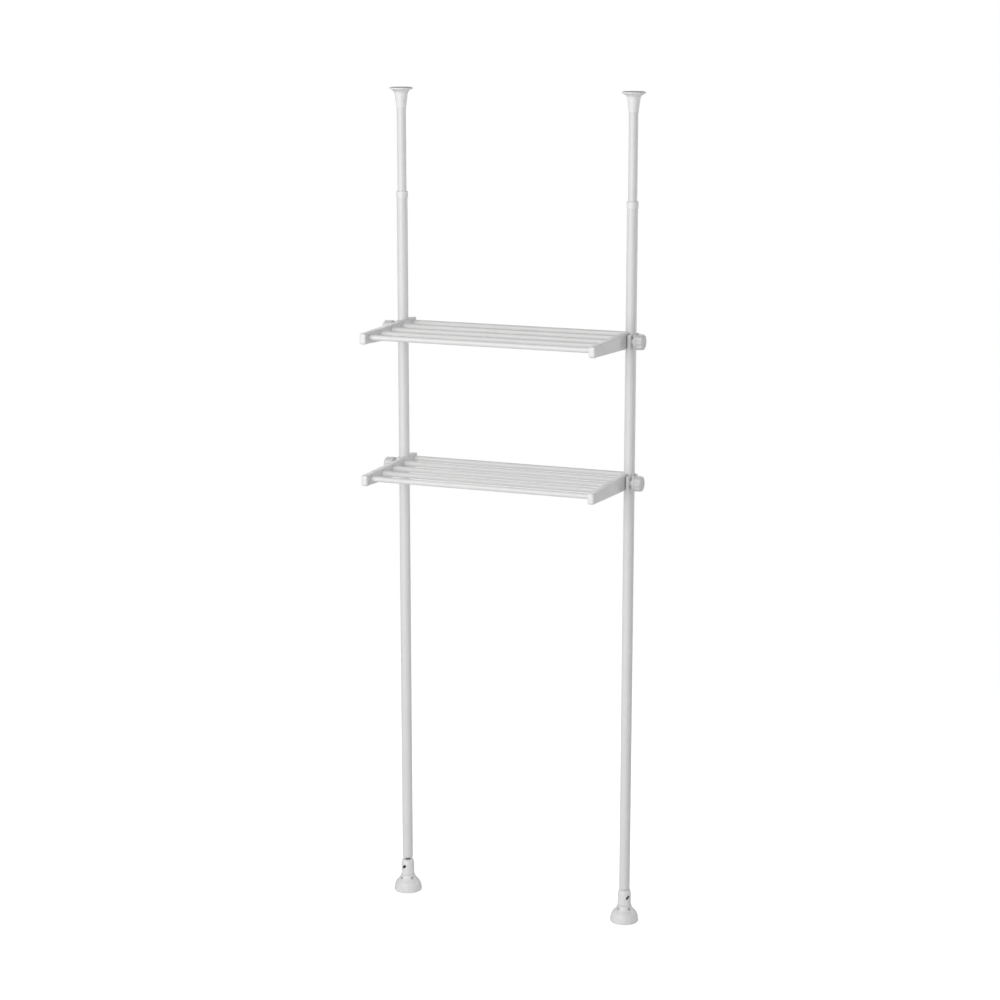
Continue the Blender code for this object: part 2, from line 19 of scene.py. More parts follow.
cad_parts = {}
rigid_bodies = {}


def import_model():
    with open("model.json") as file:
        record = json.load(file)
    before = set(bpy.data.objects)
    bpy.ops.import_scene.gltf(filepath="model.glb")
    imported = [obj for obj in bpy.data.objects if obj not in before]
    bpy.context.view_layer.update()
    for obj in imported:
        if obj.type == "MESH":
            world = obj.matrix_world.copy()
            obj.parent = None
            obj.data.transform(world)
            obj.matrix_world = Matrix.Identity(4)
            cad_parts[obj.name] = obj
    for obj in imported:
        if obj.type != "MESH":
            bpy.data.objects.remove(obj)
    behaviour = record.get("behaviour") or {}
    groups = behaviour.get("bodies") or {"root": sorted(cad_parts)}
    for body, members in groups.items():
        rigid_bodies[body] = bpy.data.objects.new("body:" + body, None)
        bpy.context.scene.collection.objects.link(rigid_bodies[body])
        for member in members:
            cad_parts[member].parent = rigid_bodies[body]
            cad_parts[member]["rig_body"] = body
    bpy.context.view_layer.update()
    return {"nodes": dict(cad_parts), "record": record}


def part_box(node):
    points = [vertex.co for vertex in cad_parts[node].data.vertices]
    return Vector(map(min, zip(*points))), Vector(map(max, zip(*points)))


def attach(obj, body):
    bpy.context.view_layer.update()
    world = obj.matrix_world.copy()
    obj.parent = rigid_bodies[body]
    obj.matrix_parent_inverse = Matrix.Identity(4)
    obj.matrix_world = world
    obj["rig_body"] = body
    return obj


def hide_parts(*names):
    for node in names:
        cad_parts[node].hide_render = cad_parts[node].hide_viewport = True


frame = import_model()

scene = bpy.context.scene

# %% [markdown]
# ## Reading sizes from the solids
#
# Every solid has a box: its lowest and highest corner at rest. Most sizes of a round piece can be read
# from its box, and a few small functions keep that readable.

# %% Helpers that measure a solid
X, Y, Z = 0, 1, 2
SIDES = {"left": -1, "right": 1}
SHELVES = ("upper", "lower")
CORNERS = {shelf + "_" + side: way for shelf in SHELVES for side, way in SIDES.items()}


def low(node, axis):
    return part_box(node)[0][axis]


def high(node, axis):
    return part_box(node)[1][axis]


def span(node, axis):
    return high(node, axis) - low(node, axis)


def middle(node):
    """Centre of a solid's box."""
    return (Vector(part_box(node)[0]) + Vector(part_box(node)[1])) / 2


def axis_of(node):
    """Where a solid's upright axis meets the floor."""
    return (middle(node).x, middle(node).y, 0.0)


TUBE_R = span("lower_pole_left", X) / 2
THIN_R = span("upper_pole_left", X) / 2
POLE_X = middle("lower_pole_right").x
POLE_Y = middle("lower_pole_right").y
HEIGHT = high("ceiling_grip_left", Z)
FIT = 0.0003               # the clearance between pieces that touch, as in the solids
print("thick tube %.1f mm, thin tube %.1f mm across" % (2000 * TUBE_R, 2000 * THIN_R))
print("poles %.0f mm apart, %.0f mm high" % (2000 * POLE_X, 1000 * HEIGHT))

# %% [markdown]
# ## The camera
#
# The photograph was taken from well back, with a long lens, to the right of the rack and a little above
# its middle. A camera was fitted to the poles, feet and shelf arms seen in it: that gave the place, the
# turn of 21 degrees and the downward tilt used here. It needs no shift and no roll.

# %% Camera at the photograph's viewing angle
CAMERA_AT = Vector((2.027, -5.2726, 2.328))
CAMERA_YAW = math.radians(21.0)
CAMERA_PITCH = math.radians(12.48)
LENS, SENSOR = 86.4, 36.0  # in millimetres


def aim(thing, target):
    """Turn a camera or lamp so that it looks at a point."""
    thing.rotation_euler = (Vector(target) - thing.location).to_track_quat("-Z", "Y").to_euler()


camera = bpy.data.objects.new("camera", bpy.data.cameras.new("camera"))
camera.data.lens, camera.data.sensor_width = LENS, SENSOR
camera.location = CAMERA_AT
ahead = Vector((-math.sin(CAMERA_YAW), math.cos(CAMERA_YAW), -math.tan(CAMERA_PITCH)))
aim(camera, CAMERA_AT + ahead)
scene.collection.objects.link(camera)
scene.camera = camera
scene.view_settings.view_transform = "Standard"
print("camera: %.1f mm lens, %.2f m from the rack" % (camera.data.lens, CAMERA_AT.length))

# %% [markdown]
# ## A small kit for nodes
#
# The world, the floor and the finishes are all node trees. A few functions let us write each tree as a
# short list of steps: one fills a node's inputs with values or with other nodes' outputs, one adds a
# node, and three more wrap the nodes that are needed most, for sums, products and smooth ramps.

# %% Adding and linking nodes
def fill(tree, node, sources):
    """Fill a node's inputs with values or with other nodes' outputs."""
    for key, source in sources.items():
        if isinstance(source, bpy.types.NodeSocket):
            tree.links.new(source, node.inputs[key])
        else:
            node.inputs[key].default_value = source
    return node


def add(tree, kind, sources=None, **settings):
    """Add a node, set it up and fill its inputs."""
    node = tree.nodes.new("ShaderNode" + kind)
    for key, value in settings.items():
        setattr(node, key, value)
    return fill(tree, node, sources or {})


def maths(tree, operation, first, second, **settings):
    return add(tree, "Math", {0: first, 1: second}, operation=operation, **settings).outputs[0]


def times(tree, first, second):
    return maths(tree, "MULTIPLY", first, second)


def ramp(tree, value, start, end, low_out=0.0, high_out=1.0):
    """Map start..end of a value smoothly to low_out..high_out."""
    return add(tree, "MapRange", {"Value": value, "From Min": start, "From Max": end,
                                  "To Min": low_out, "To Max": high_out},
               interpolation_type="SMOOTHSTEP").outputs["Result"]


print("node kit: fill, add, maths, times, ramp")

# %% [markdown]
# ## Studio light
#
# The photograph has a pure white background, yet the rack itself is softly grey: white plastic shows no
# shape against white unless something darker surrounds it. We do the same. The sky that the camera sees
# is white, and the sky that lights the rack is dimmer, most of all overhead. The Light Path node tells
# the two apart. A very wide lamp in front gives the tubes their even, pale front. A weaker one from the
# right, a little behind, brightens the arms' outer faces but leaves the tubes their dark side. A third
# one only serves whoever walks round the rack and looks at its back.

# %% World: white for the camera, dimmer as a light
SKY_LIGHT = 0.40           # at the height of the horizon
ZENITH_LIGHT = 0.22        # straight above
WHITE = (1.0, 1.0, 1.0, 1.0)
world = bpy.data.worlds.new("studio")
scene.world = world
world.use_nodes = True
sky = world.node_tree
way_out = add(sky, "TexCoord").outputs["Generated"]
upward = add(sky, "SeparateXYZ", {0: way_out}).outputs["Z"]
strength = add(sky, "MapRange", {"Value": upward, "To Min": SKY_LIGHT, "To Max": ZENITH_LIGHT})
dim = fill(sky, sky.nodes["Background"], {"Color": WHITE, "Strength": strength.outputs["Result"]})
bright = add(sky, "Background", {"Color": WHITE, "Strength": 1.0})
seen = add(sky, "LightPath").outputs["Is Camera Ray"]
choice = add(sky, "MixShader", {0: seen, 1: dim.outputs[0], 2: bright.outputs[0]})
fill(sky, sky.nodes["World Output"], {"Surface": choice.outputs[0]})
print("world: white to the camera, %.2f to %.2f as a light" % (SKY_LIGHT, ZENITH_LIGHT))

# %% Three soft lamps
MID_HEIGHT = Vector((0.0, 0.0, 1.1))
LAMP_TALLNESS = 1.4


def soft_lamp(name, azimuth, distance, height, width, watts):
    """Tall rectangular lamp; azimuth is counted from straight in front towards the right."""
    lamp = bpy.data.objects.new(name, bpy.data.lights.new(name, "AREA"))
    lamp.data.shape = "RECTANGLE"
    lamp.data.size, lamp.data.size_y = width, width * LAMP_TALLNESS
    lamp.data.energy = watts
    turn = math.radians(azimuth)
    lamp.location = (distance * math.sin(turn), -distance * math.cos(turn), height)
    aim(lamp, MID_HEIGHT)
    scene.collection.objects.link(lamp)
    print(name, "at", azimuth, "degrees,", watts, "W")


soft_lamp("key_lamp", azimuth=-12.0, distance=3.6, height=2.5, width=3.2, watts=112.0)
soft_lamp("fill_lamp", azimuth=132.0, distance=3.2, height=1.3, width=1.2, watts=18.0)
soft_lamp("back_lamp", azimuth=205.0, distance=3.6, height=1.8, width=1.6, watts=20.0)

# %% [markdown]
# ## The floor
#
# A plain pale floor that fades out into the white background. It lies a hair below the rubber soles, so
# that no two faces share one height. For the camera it glows just enough to read as white paper, and
# what is left over is the soft shadow round each foot. The fade is a gradient on the floor's own
# coordinates, so it stays put from every side.

# %% Floor disc
FLOOR_R = 3.4
FLOOR_DROP = 0.0004
FLOOR_GLOW = 0.62
FLOOR_TONE = (0.86, 0.86, 0.86, 1.0)
FADE_START, FADE_MARGIN = 1.0, 0.2
bm = bmesh.new()
bmesh.ops.create_circle(bm, cap_ends=True, segments=96, radius=FLOOR_R,
                        matrix=Matrix.Translation((0.0, 0.0, -FLOOR_DROP)))
floor = bpy.data.objects.new("studio_floor", bpy.data.meshes.new("studio_floor"))
bm.to_mesh(floor.data)
bm.free()
scene.collection.objects.link(floor)

paper = bpy.data.materials.new("white_paper")
paper.use_nodes = True
floor.data.materials.append(paper)
sheet = paper.node_tree
seen = add(sheet, "LightPath").outputs["Is Camera Ray"]
place = add(sheet, "TexCoord").outputs["Object"]
far_out = add(sheet, "VectorMath", {0: place}, operation="LENGTH").outputs["Value"]
fill(sheet, sheet.nodes["Principled BSDF"], {
    "Base Color": FLOOR_TONE, "Roughness": 0.9, "Specular IOR Level": 0.2,
    "Emission Color": WHITE, "Emission Strength": times(sheet, seen, FLOOR_GLOW),
    "Alpha": ramp(sheet, far_out, FADE_START, FLOOR_R - FADE_MARGIN, 1.0, 0.0)})
print("floor: a disc of %.1f m" % (2 * FLOOR_R))

# %% [markdown]
# ## Effects that the finishes share
#
# Powder coat, moulded plastic, rubber and steel all pick up the same everyday marks: slow changes of
# tone, finger smudges, dust on top, dirt with painted shade in the joints, and paler edges. Each effect
# is built once as a node group that puts out a mask or a height, and every finish mixes it in with its
# own strength. Groups read Object coordinates. Each piece's origin is the rack's origin, so one pattern
# runs through all.

# %% Noise and node groups
def noise(tree, size, detail=2.0, stretch=None):
    """Noise whose lumps are about size metres across; stretch scales the coordinates first."""
    place = add(tree, "TexCoord").outputs["Object"]
    if stretch:
        place = add(tree, "Mapping", {"Vector": place, "Scale": stretch}).outputs[0]
    scale = maths(tree, "DIVIDE", 1.0, size)
    return add(tree, "TexNoise", {"Vector": place, "Scale": scale, "Detail": detail}).outputs[0]


def group(name, inputs, outputs):
    """New node group with float sockets: gives its tree, its input values and its output node."""
    tree = bpy.data.node_groups.new(name, "ShaderNodeTree")
    for label, value in inputs.items():
        socket = tree.interface.new_socket(label, in_out="INPUT", socket_type="NodeSocketFloat")
        socket.default_value = value
    for label in outputs:
        tree.interface.new_socket(label, in_out="OUTPUT", socket_type="NodeSocketFloat")
    return tree, tree.nodes.new("NodeGroupInput").outputs, tree.nodes.new("NodeGroupOutput")


# %% [markdown]
# ### Surface relief
#
# Powder coat melts into a skin with a faint orange-peel ripple of 1 to 2 mm. Moulded plastic copies the
# spark-eroded grain of its mould, much finer, and swells slightly where it cooled last. Turned or rolled
# steel shows lines round its axis. All three are heights, and a Bump node gives them a real depth.

# %% Orange peel, mould grain and turning lines
orange_peel, given, out = group("orange_peel", {"Size": 0.0016}, ("Height", "Speck"))
place = add(orange_peel, "TexCoord").outputs["Object"]
grit = add(orange_peel, "TexVoronoi", {"Vector": place, "Scale": 210.0}).outputs
small = ramp(orange_peel, grit["Distance"], 0.04, 0.10, 1.0, 0.0)
rare = maths(orange_peel, "GREATER_THAN", grit["Color"], 0.86)
fill(orange_peel, out, {"Height": noise(orange_peel, given["Size"], detail=1.0),
                        "Speck": times(orange_peel, small, rare)})

mould_grain, given, out = group("mould_grain", {"Size": 0.0005}, ("Height",))
fine = noise(mould_grain, given["Size"])
swell = times(mould_grain, noise(mould_grain, 0.018, detail=1.0), 2.0)
fill(mould_grain, out, {"Height": maths(mould_grain, "ADD", swell, fine)})


def turning_lines(name, stretch):
    """Fine lines round an axis: stretch is small across the lines' run and large along the axis."""
    tree, given, out = group(name, {"Size": 0.0012}, ("Height",))
    fill(tree, out, {"Height": noise(tree, given["Size"], detail=3.0, stretch=stretch)})
    return tree


lines_round_z = turning_lines("turning_lines_round_z", (0.15, 0.15, 5.0))
lines_round_x = turning_lines("turning_lines_round_x", (5.0, 0.15, 0.15))
print("relief groups:", orange_peel.name, mould_grain.name, lines_round_z.name, lines_round_x.name)

# %% [markdown]
# ### Marks of use
#
# Handling leaves broad, barely visible changes of tone and a few smoother, greasier patches. Dust
# settles where a surface looks up, so its mask starts from the surface's own upward direction, broken
# up by noise. Joints and recesses, where the Ambient Occlusion node finds nearby walls, get dirt and
# painted shade, broken up by noise. Edges catch knocks: the Bevel node's rounded normal differs from
# the real one only there, and that difference is the mask.

# %% Handling, dust, joints and edges
handling, given, out = group("handling", {"Size": 0.06}, ("Tone", "Smudge"))
patches = noise(handling, times(handling, given["Size"], 0.45))
fill(handling, out, {"Tone": noise(handling, given["Size"], detail=3.0),
                     "Smudge": ramp(handling, patches, 0.42, 0.78)})

settled_dust, given, out = group("settled_dust", {"Amount": 0.3}, ("Dust",))
facing = add(settled_dust, "TexCoord").outputs["Normal"]
level = ramp(settled_dust, add(settled_dust, "SeparateXYZ", {0: facing}).outputs["Z"], 0.35, 0.95)
cloudy = ramp(settled_dust, noise(settled_dust, 0.012, detail=5.0), 0.30, 0.75)
lying = times(settled_dust, level, cloudy)
fill(settled_dust, out, {"Dust": times(settled_dust, lying, given["Amount"])})

# Dirt and painted shade: Ambient Occlusion darkens joints and recesses where light is blocked.
joint_grime_and_shade, given, out = group("joint_grime_and_shade", {"Reach": 0.006}, ("GrimeAndShade",))
near = add(joint_grime_and_shade, "AmbientOcclusion", {"Distance": given["Reach"]}, samples=8).outputs["AO"]
closed = ramp(joint_grime_and_shade, maths(joint_grime_and_shade, "SUBTRACT", 1.0, near), 0.25, 0.95)
broken = ramp(joint_grime_and_shade, noise(joint_grime_and_shade, 0.006, detail=4.0), 0.20, 0.80, 0.45, 1.0)
fill(joint_grime_and_shade, out, {"GrimeAndShade": times(joint_grime_and_shade, closed, broken)})

worn_edges, given, out = group("worn_edges", {"Width": 0.0006}, ("Edge",))
rounded = add(worn_edges, "Bevel", {"Radius": given["Width"]}, samples=6).outputs[0]
real = add(worn_edges, "NewGeometry").outputs["Normal"]
alike = add(worn_edges, "VectorMath", {0: rounded, 1: real}, operation="DOT_PRODUCT").outputs["Value"]
apart = ramp(worn_edges, maths(worn_edges, "SUBTRACT", 1.0, alike), 0.02, 0.25)
patchy = ramp(worn_edges, noise(worn_edges, 0.004, detail=4.0), 0.35, 0.65)
fill(worn_edges, out, {"Edge": times(worn_edges, apart, patchy)})
print("mark groups:", handling.name, settled_dust.name, joint_grime_and_shade.name, worn_edges.name)

# %% [markdown]
# ## The six finishes
#
# One builder makes every finish, because they differ in values and not in plan: a base colour drifts a
# little with handling, edges turn paler or darker, joints get grey with dirt and painted shade, dust lies
# on top. The same masks move the roughness, and the relief feeds a Bump node whose depth is given in
# metres. Metal stays a constant on the shader's own socket.

# %% The finish builder
DUST_TONE = (0.60, 0.59, 0.57)
# Grey for specks in the coating, and for dirt and painted shade in joints and recesses
GRIME_AND_SHADE_TONE = (0.30, 0.29, 0.28)
SPECK_SHARE = 0.35         # how strongly a speck in the coating shows
COAT_ROUGHNESS = 0.30
SMUDGE_POLISH, DUST_DULLING, WEAR_DULLING = -0.05, 0.5, 0.2
FINISHES = {}


def blend(tree, share, below, above):
    """Mix two colours by a share that changes over the surface."""
    below, above = (colour if isinstance(colour, bpy.types.NodeSocket) else (*colour, 1.0)
                    for colour in (below, above))
    return add(tree, "Mix", {0: share, 6: below, 7: above}, data_type="RGBA").outputs[2]


def make_finish(slot, colour, drift, edge_tone, rough, relief, size, depth, metal=0.0, coat=0.0,
                dust=0.25, grime_and_shade_share=0.55, edge=0.35, gloss=0.5):
    """colour drifts towards drift; rough is (smooth, dull); relief is a group with a Height."""
    material = bpy.data.materials.new(slot)
    material.use_nodes = True
    tree = material.node_tree

    def effect(node_tree, **values):
        return add(tree, "Group", values, node_tree=node_tree).outputs

    touch = effect(handling)
    skin = effect(relief, Size=size)
    dusty = effect(settled_dust, Amount=dust)["Dust"]
    # Dirt and painted shade: the occlusion mask darkens the colour in joints and recesses.
    grime_and_shade = times(tree, effect(joint_grime_and_shade)["GrimeAndShade"], grime_and_shade_share)
    edges = times(tree, effect(worn_edges)["Edge"], edge)

    shade = blend(tree, touch["Tone"], colour, drift)
    if "Speck" in skin:
        shade = blend(tree, times(tree, skin["Speck"], SPECK_SHARE), shade, GRIME_AND_SHADE_TONE)
    for mark, tone in ((edges, edge_tone), (grime_and_shade, GRIME_AND_SHADE_TONE), (dusty, DUST_TONE)):
        shade = blend(tree, mark, shade, tone)

    sheen = ramp(tree, touch["Tone"], 0.3, 0.7, *rough)
    for mark, change in ((touch["Smudge"], SMUDGE_POLISH), (dusty, DUST_DULLING),
                         (edges, WEAR_DULLING)):
        sheen = maths(tree, "ADD", sheen, times(tree, mark, change), use_clamp=True)

    bump = add(tree, "Bump", {"Height": skin["Height"], "Distance": depth, "Strength": 1.0})
    fill(tree, tree.nodes["Principled BSDF"], {
        "Base Color": shade, "Roughness": sheen, "Normal": bump.outputs[0], "Metallic": metal,
        "Coat Weight": coat, "Coat Roughness": COAT_ROUGHNESS, "Specular IOR Level": gloss})
    material.diffuse_color = (*colour, 1.0)
    FINISHES[slot] = material
    print("finish:", slot, "with", len(tree.nodes), "nodes")


# %% Six calls, one for each finish
make_finish("white_coated_steel", (0.80, 0.80, 0.795), (0.84, 0.84, 0.835), (0.90, 0.90, 0.89),
            (0.34, 0.42), orange_peel, size=0.0017, depth=0.00005, coat=0.15, grime_and_shade_share=0.45)
make_finish("white_plastic", (0.86, 0.86, 0.855), (0.90, 0.90, 0.895), (0.94, 0.94, 0.93),
            (0.35, 0.45), mould_grain, size=0.0006, depth=0.00003)
make_finish("grey_plastic", (0.72, 0.725, 0.73), (0.77, 0.775, 0.78), (0.86, 0.86, 0.86),
            (0.34, 0.44), mould_grain, size=0.0007, depth=0.00003, edge=0.5)
make_finish("pale_rubber", (0.54, 0.54, 0.535), (0.60, 0.60, 0.59), (0.68, 0.67, 0.66),
            (0.70, 0.86), mould_grain, size=0.0008, depth=0.00006, dust=0.4, grime_and_shade_share=0.5, gloss=0.3)
make_finish("dark_steel", (0.11, 0.11, 0.12), (0.17, 0.165, 0.16), (0.38, 0.37, 0.36),
            (0.35, 0.52), lines_round_z, size=0.0012, depth=0.00003, metal=0.85, edge=0.7,
            grime_and_shade_share=0.4)
make_finish("plated_steel", (0.52, 0.53, 0.55), (0.60, 0.61, 0.62), (0.75, 0.75, 0.76),
            (0.34, 0.44), lines_round_x, size=0.0012, depth=0.00002, metal=1.0, edge=0.6,
            grime_and_shade_share=0.35)

# %% [markdown]
# ## Modelling tools
#
# Nearly every piece of the rack is turned, moulded from a flat outline, or drilled. So three tools do
# most of the work. An outline is a closed chain of a few vertices whose corners a vertex bevel rounds.
# The lathe spins an outline about Z. A slab fills an outline with a face and extrudes it. A fourth one
# carves with an exact Boolean, for sockets and slots that no single spin or extrusion can make. It
# trusts the normals that it is given, so every tool points its faces outwards before it hands them on.

# %% Outline, lathe and slab
ROUND_STEPS = 72           # facets round a tube
CORNER_STEPS = 4           # facets of a rounded corner
TINY = 1e-6                # vertices closer than this are one


def outline(points, plane):
    """Closed chain through (a, b, rounding) points; plane turns (a, b) into a place."""
    bm = bmesh.new()
    corners = [bm.verts.new(plane(a, b)) for a, b, _ in points]
    for start, end in zip(corners, corners[1:] + corners[:1]):
        bm.edges.new((start, end))
    for corner, (_, _, rounding) in zip(corners, points):
        if rounding:
            bmesh.ops.bevel(bm, geom=[corner], offset=rounding, offset_type="OFFSET",
                            segments=CORNER_STEPS, profile=0.5, affect="VERTICES", material=-1)
    return bm


def spin(bm, geom, angle, steps, rise=0.0, merge=False):
    """Carry geometry round Z, and up by rise at each step."""
    bmesh.ops.spin(bm, geom=geom, cent=(0, 0, 0), axis=(0, 0, 1), dvec=(0, 0, rise), angle=angle,
                   steps=steps, use_merge=merge, use_duplicate=False)


def extrude(bm, faces, travel):
    """Move a copy of some faces along travel, with walls in between."""
    grown = bmesh.ops.extrude_face_region(bm, geom=faces)["geom"]
    moved = [part for part in grown if isinstance(part, bmesh.types.BMVert)]
    bmesh.ops.translate(bm, verts=moved, vec=travel)


def rotate(bm, angle, axis):
    """Turn everything about an axis through the origin."""
    bmesh.ops.rotate(bm, verts=bm.verts[:], cent=(0, 0, 0), matrix=Matrix.Rotation(angle, 3, axis))


def lathe(points, segments=ROUND_STEPS):
    """Turned piece about Z from the (radius, height, rounding) points of its section."""
    bm = outline(points, lambda radius, height: (radius, 0.0, height))
    spin(bm, bm.verts[:] + bm.edges[:], 2 * math.pi, segments, merge=True)
    bmesh.ops.remove_doubles(bm, verts=bm.verts[:], dist=TINY)
    on_axis = [edge for edge in bm.edges if edge.is_wire]  # left where a section lies on Z
    bmesh.ops.delete(bm, geom=on_axis, context="EDGES_FACES")
    bmesh.ops.recalc_face_normals(bm, faces=bm.faces[:])
    return bm


def slab(points, plane, travel):
    """Plate from an outline: one face, extruded along travel."""
    bm = outline(points, plane)
    bmesh.ops.edgeloop_fill(bm, edges=bm.edges[:])
    extrude(bm, bm.faces[:], travel)
    bmesh.ops.recalc_face_normals(bm, faces=bm.faces[:])
    return bm


ring = lathe([(0.010, 0.0, 0.001), (0.012, 0.0, 0.001), (0.012, 0.02, 0.001), (0.010, 0.02, 0.001)])
print("a ring from the lathe has", len(ring.faces), "faces")
ring.free()

# %% Softened edges, rods and carving
SHARP = math.radians(50.0)
ON_FACE, ON_CURVE = 1e-5, 1e-4  # how close to a flat face, or a curve, a vertex counts as on it


def soften(bm, width, wanted=lambda edge: True, steps=3):
    """Round the sharp edges that pass a test."""
    edges = [e for e in bm.edges if e.calc_face_angle(0.0) > SHARP and wanted(e)]
    bmesh.ops.bevel(bm, geom=edges, offset=width, offset_type="OFFSET", segments=steps,
                    profile=0.5, affect="EDGES", clamp_overlap=True, material=-1)


def rod(bm, radius, start, end, segments=48):
    """Add a capped cylinder between two points."""
    start, end = Vector(start), Vector(end)
    turn = (end - start).to_track_quat("Z", "Y").to_matrix().to_4x4()
    bmesh.ops.create_cone(bm, cap_ends=True, segments=segments, radius1=radius, radius2=radius,
                          depth=(end - start).length,
                          matrix=Matrix.Translation((start + end) / 2) @ turn)


def block(bm, size, centre, angle=0.0):
    """Add a box, swung round Z by an angle in degrees."""
    bmesh.ops.create_cube(bm, size=1.0, matrix=Matrix.Rotation(math.radians(angle), 4, "Z")
                          @ Matrix.Translation(centre) @ Matrix.Diagonal((*size, 1.0)))


def carve(bm, tool):
    """Cut one closed bmesh out of another with an exact Boolean; gives a new bmesh."""
    pair = []
    for shape in (bm, tool):
        mesh = bpy.data.meshes.new("carving")
        shape.to_mesh(mesh)
        shape.free()
        pair.append(bpy.data.objects.new("carving", mesh))
        scene.collection.objects.link(pair[-1])
    cut = pair[0].modifiers.new("cut", "BOOLEAN")
    cut.operation, cut.solver, cut.object = "DIFFERENCE", "EXACT", pair[1]
    bpy.context.view_layer.update()
    result = bmesh.new()
    result.from_object(pair[0], bpy.context.evaluated_depsgraph_get())
    for thing in pair:
        bpy.data.meshes.remove(thing.data)  # takes its object along
    return result


print("tools: outline, lathe, slab, rotate, soften, rod, block, carve")

# %% [markdown]
# The last tool turns a bmesh into a finished piece. It closes seams and poles, points every face
# outwards, shades smooth except across real edges, and hands the piece to the solid that it dresses: it
# rides on the same body and takes the same finish. A Weighted Normal modifier lets big flat faces stay
# flat next to their small rounded edges.

# %% Turning a bmesh into a finished piece
FINISH_OF = {part["node"]: part["material_slot"] for part in frame["record"]["subparts"]}
SMOOTH_UP_TO = 32.0        # degrees between two faces that still shade as one surface


def finished(bm, name, node, at=(0.0, 0.0, 0.0), limit=SMOOTH_UP_TO):
    """Make a bmesh the skin of a solid, moved to its place in the rack."""
    bmesh.ops.translate(bm, verts=bm.verts[:], vec=at)
    bmesh.ops.remove_doubles(bm, verts=bm.verts[:], dist=TINY)
    bmesh.ops.dissolve_degenerate(bm, dist=TINY, edges=bm.edges[:])
    bmesh.ops.recalc_face_normals(bm, faces=bm.faces[:])
    for face in bm.faces:
        face.smooth = True
    for edge in bm.edges:
        edge.smooth = edge.calc_face_angle(math.pi) < math.radians(limit)
    piece = bpy.data.objects.new(name, bpy.data.meshes.new(name))
    bm.to_mesh(piece.data)
    bm.free()
    scene.collection.objects.link(piece)
    piece.data.materials.append(FINISHES[FINISH_OF[node]])
    flat = piece.modifiers.new("flat faces stay flat", "WEIGHTED_NORMAL")
    flat.keep_sharp = True
    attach(piece, frame["nodes"][node]["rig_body"])
    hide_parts(node)
    print("%-26s %6d faces, stands for %s" % (name, len(piece.data.polygons), node))


# %% [markdown]
# ## The telescopic poles
#
# Each pole is a pair of welded steel tubes, coated white. The thin one slides in the thick one. A cut
# tube end has no sharp corner, because the coating rounds it, so the lathe gives both ends a small arc.
# The wall is 1 mm thick, and the thick tube is open below for its plug and above for the thin tube.

# %% Thick tubes, thin tubes and rails
SLIDE = 0.00035            # play round a sliding tube
TUBE_WALL = 0.0010
COATED_EDGE = 0.00035


def tube(node, name, segments=ROUND_STEPS):
    """Open tube along its solid's longest side, X or Z, with rounded ends."""
    lying = span(node, X) > span(node, Z)
    half = span(node, X if lying else Z) / 2
    radius = span(node, Z if lying else X) / 2
    bm = lathe([(radius - TUBE_WALL, -half, 0.0), (radius, -half, COATED_EDGE),
                (radius, half, COATED_EDGE), (radius - TUBE_WALL, half, 0.0)], segments)
    if lying:
        rotate(bm, math.pi / 2, "Y")
    finished(bm, name, node, at=middle(node))


for side in SIDES:
    tube("lower_pole_" + side, "thick_tube_" + side)
    tube("upper_pole_" + side, "thin_tube_" + side)

# %% [markdown]
# ### The twist lock
#
# A moulded ring sits over the thick tube's end and squeezes a split sleeve onto the thin tube when it is
# twisted. Only the ring shows. Its lower rim is thin, and its top is rounded so that a towel doesn't
# catch on it. The sleeve and the bush inside keep the meshes of their solids and get the grey plastic.

# %% Locking rings and the hidden guides
RING_RIM = 0.0004
RING_TOP = 0.0022
for side in SIDES:
    node = "lock_collar_" + side
    ring_r, bottom, top = span(node, X) / 2, low(node, Z), high(node, Z)
    shoulder = high("lock_collet_" + side, Z) + FIT
    seat_r, throat_r = TUBE_R + SLIDE, THIN_R + SLIDE
    bm = lathe([(seat_r, bottom, 0.0), (ring_r, bottom, RING_RIM), (ring_r, top, RING_TOP),
                (throat_r, top, RING_RIM), (throat_r, shoulder, 0.0), (seat_r, shoulder, 0.0)])
    finished(bm, "locking_ring_" + side, node, at=axis_of(node))
    for guide in ("pole_bush_" + side, "lock_collet_" + side):
        for material_slot in frame["nodes"][guide].material_slots:
            material_slot.material = FINISHES[FINISH_OF[guide]]

# %% [markdown]
# ## The ceiling pads
#
# A trumpet of moulded plastic spreads the thrust over the ceiling, and a ribbed rubber disc in its mouth
# stops it from sliding. The cup's side is a fair curve: we give a dozen points from the rim down to the
# stem, and the rounding at each one turns the steps between them into a flowing line.

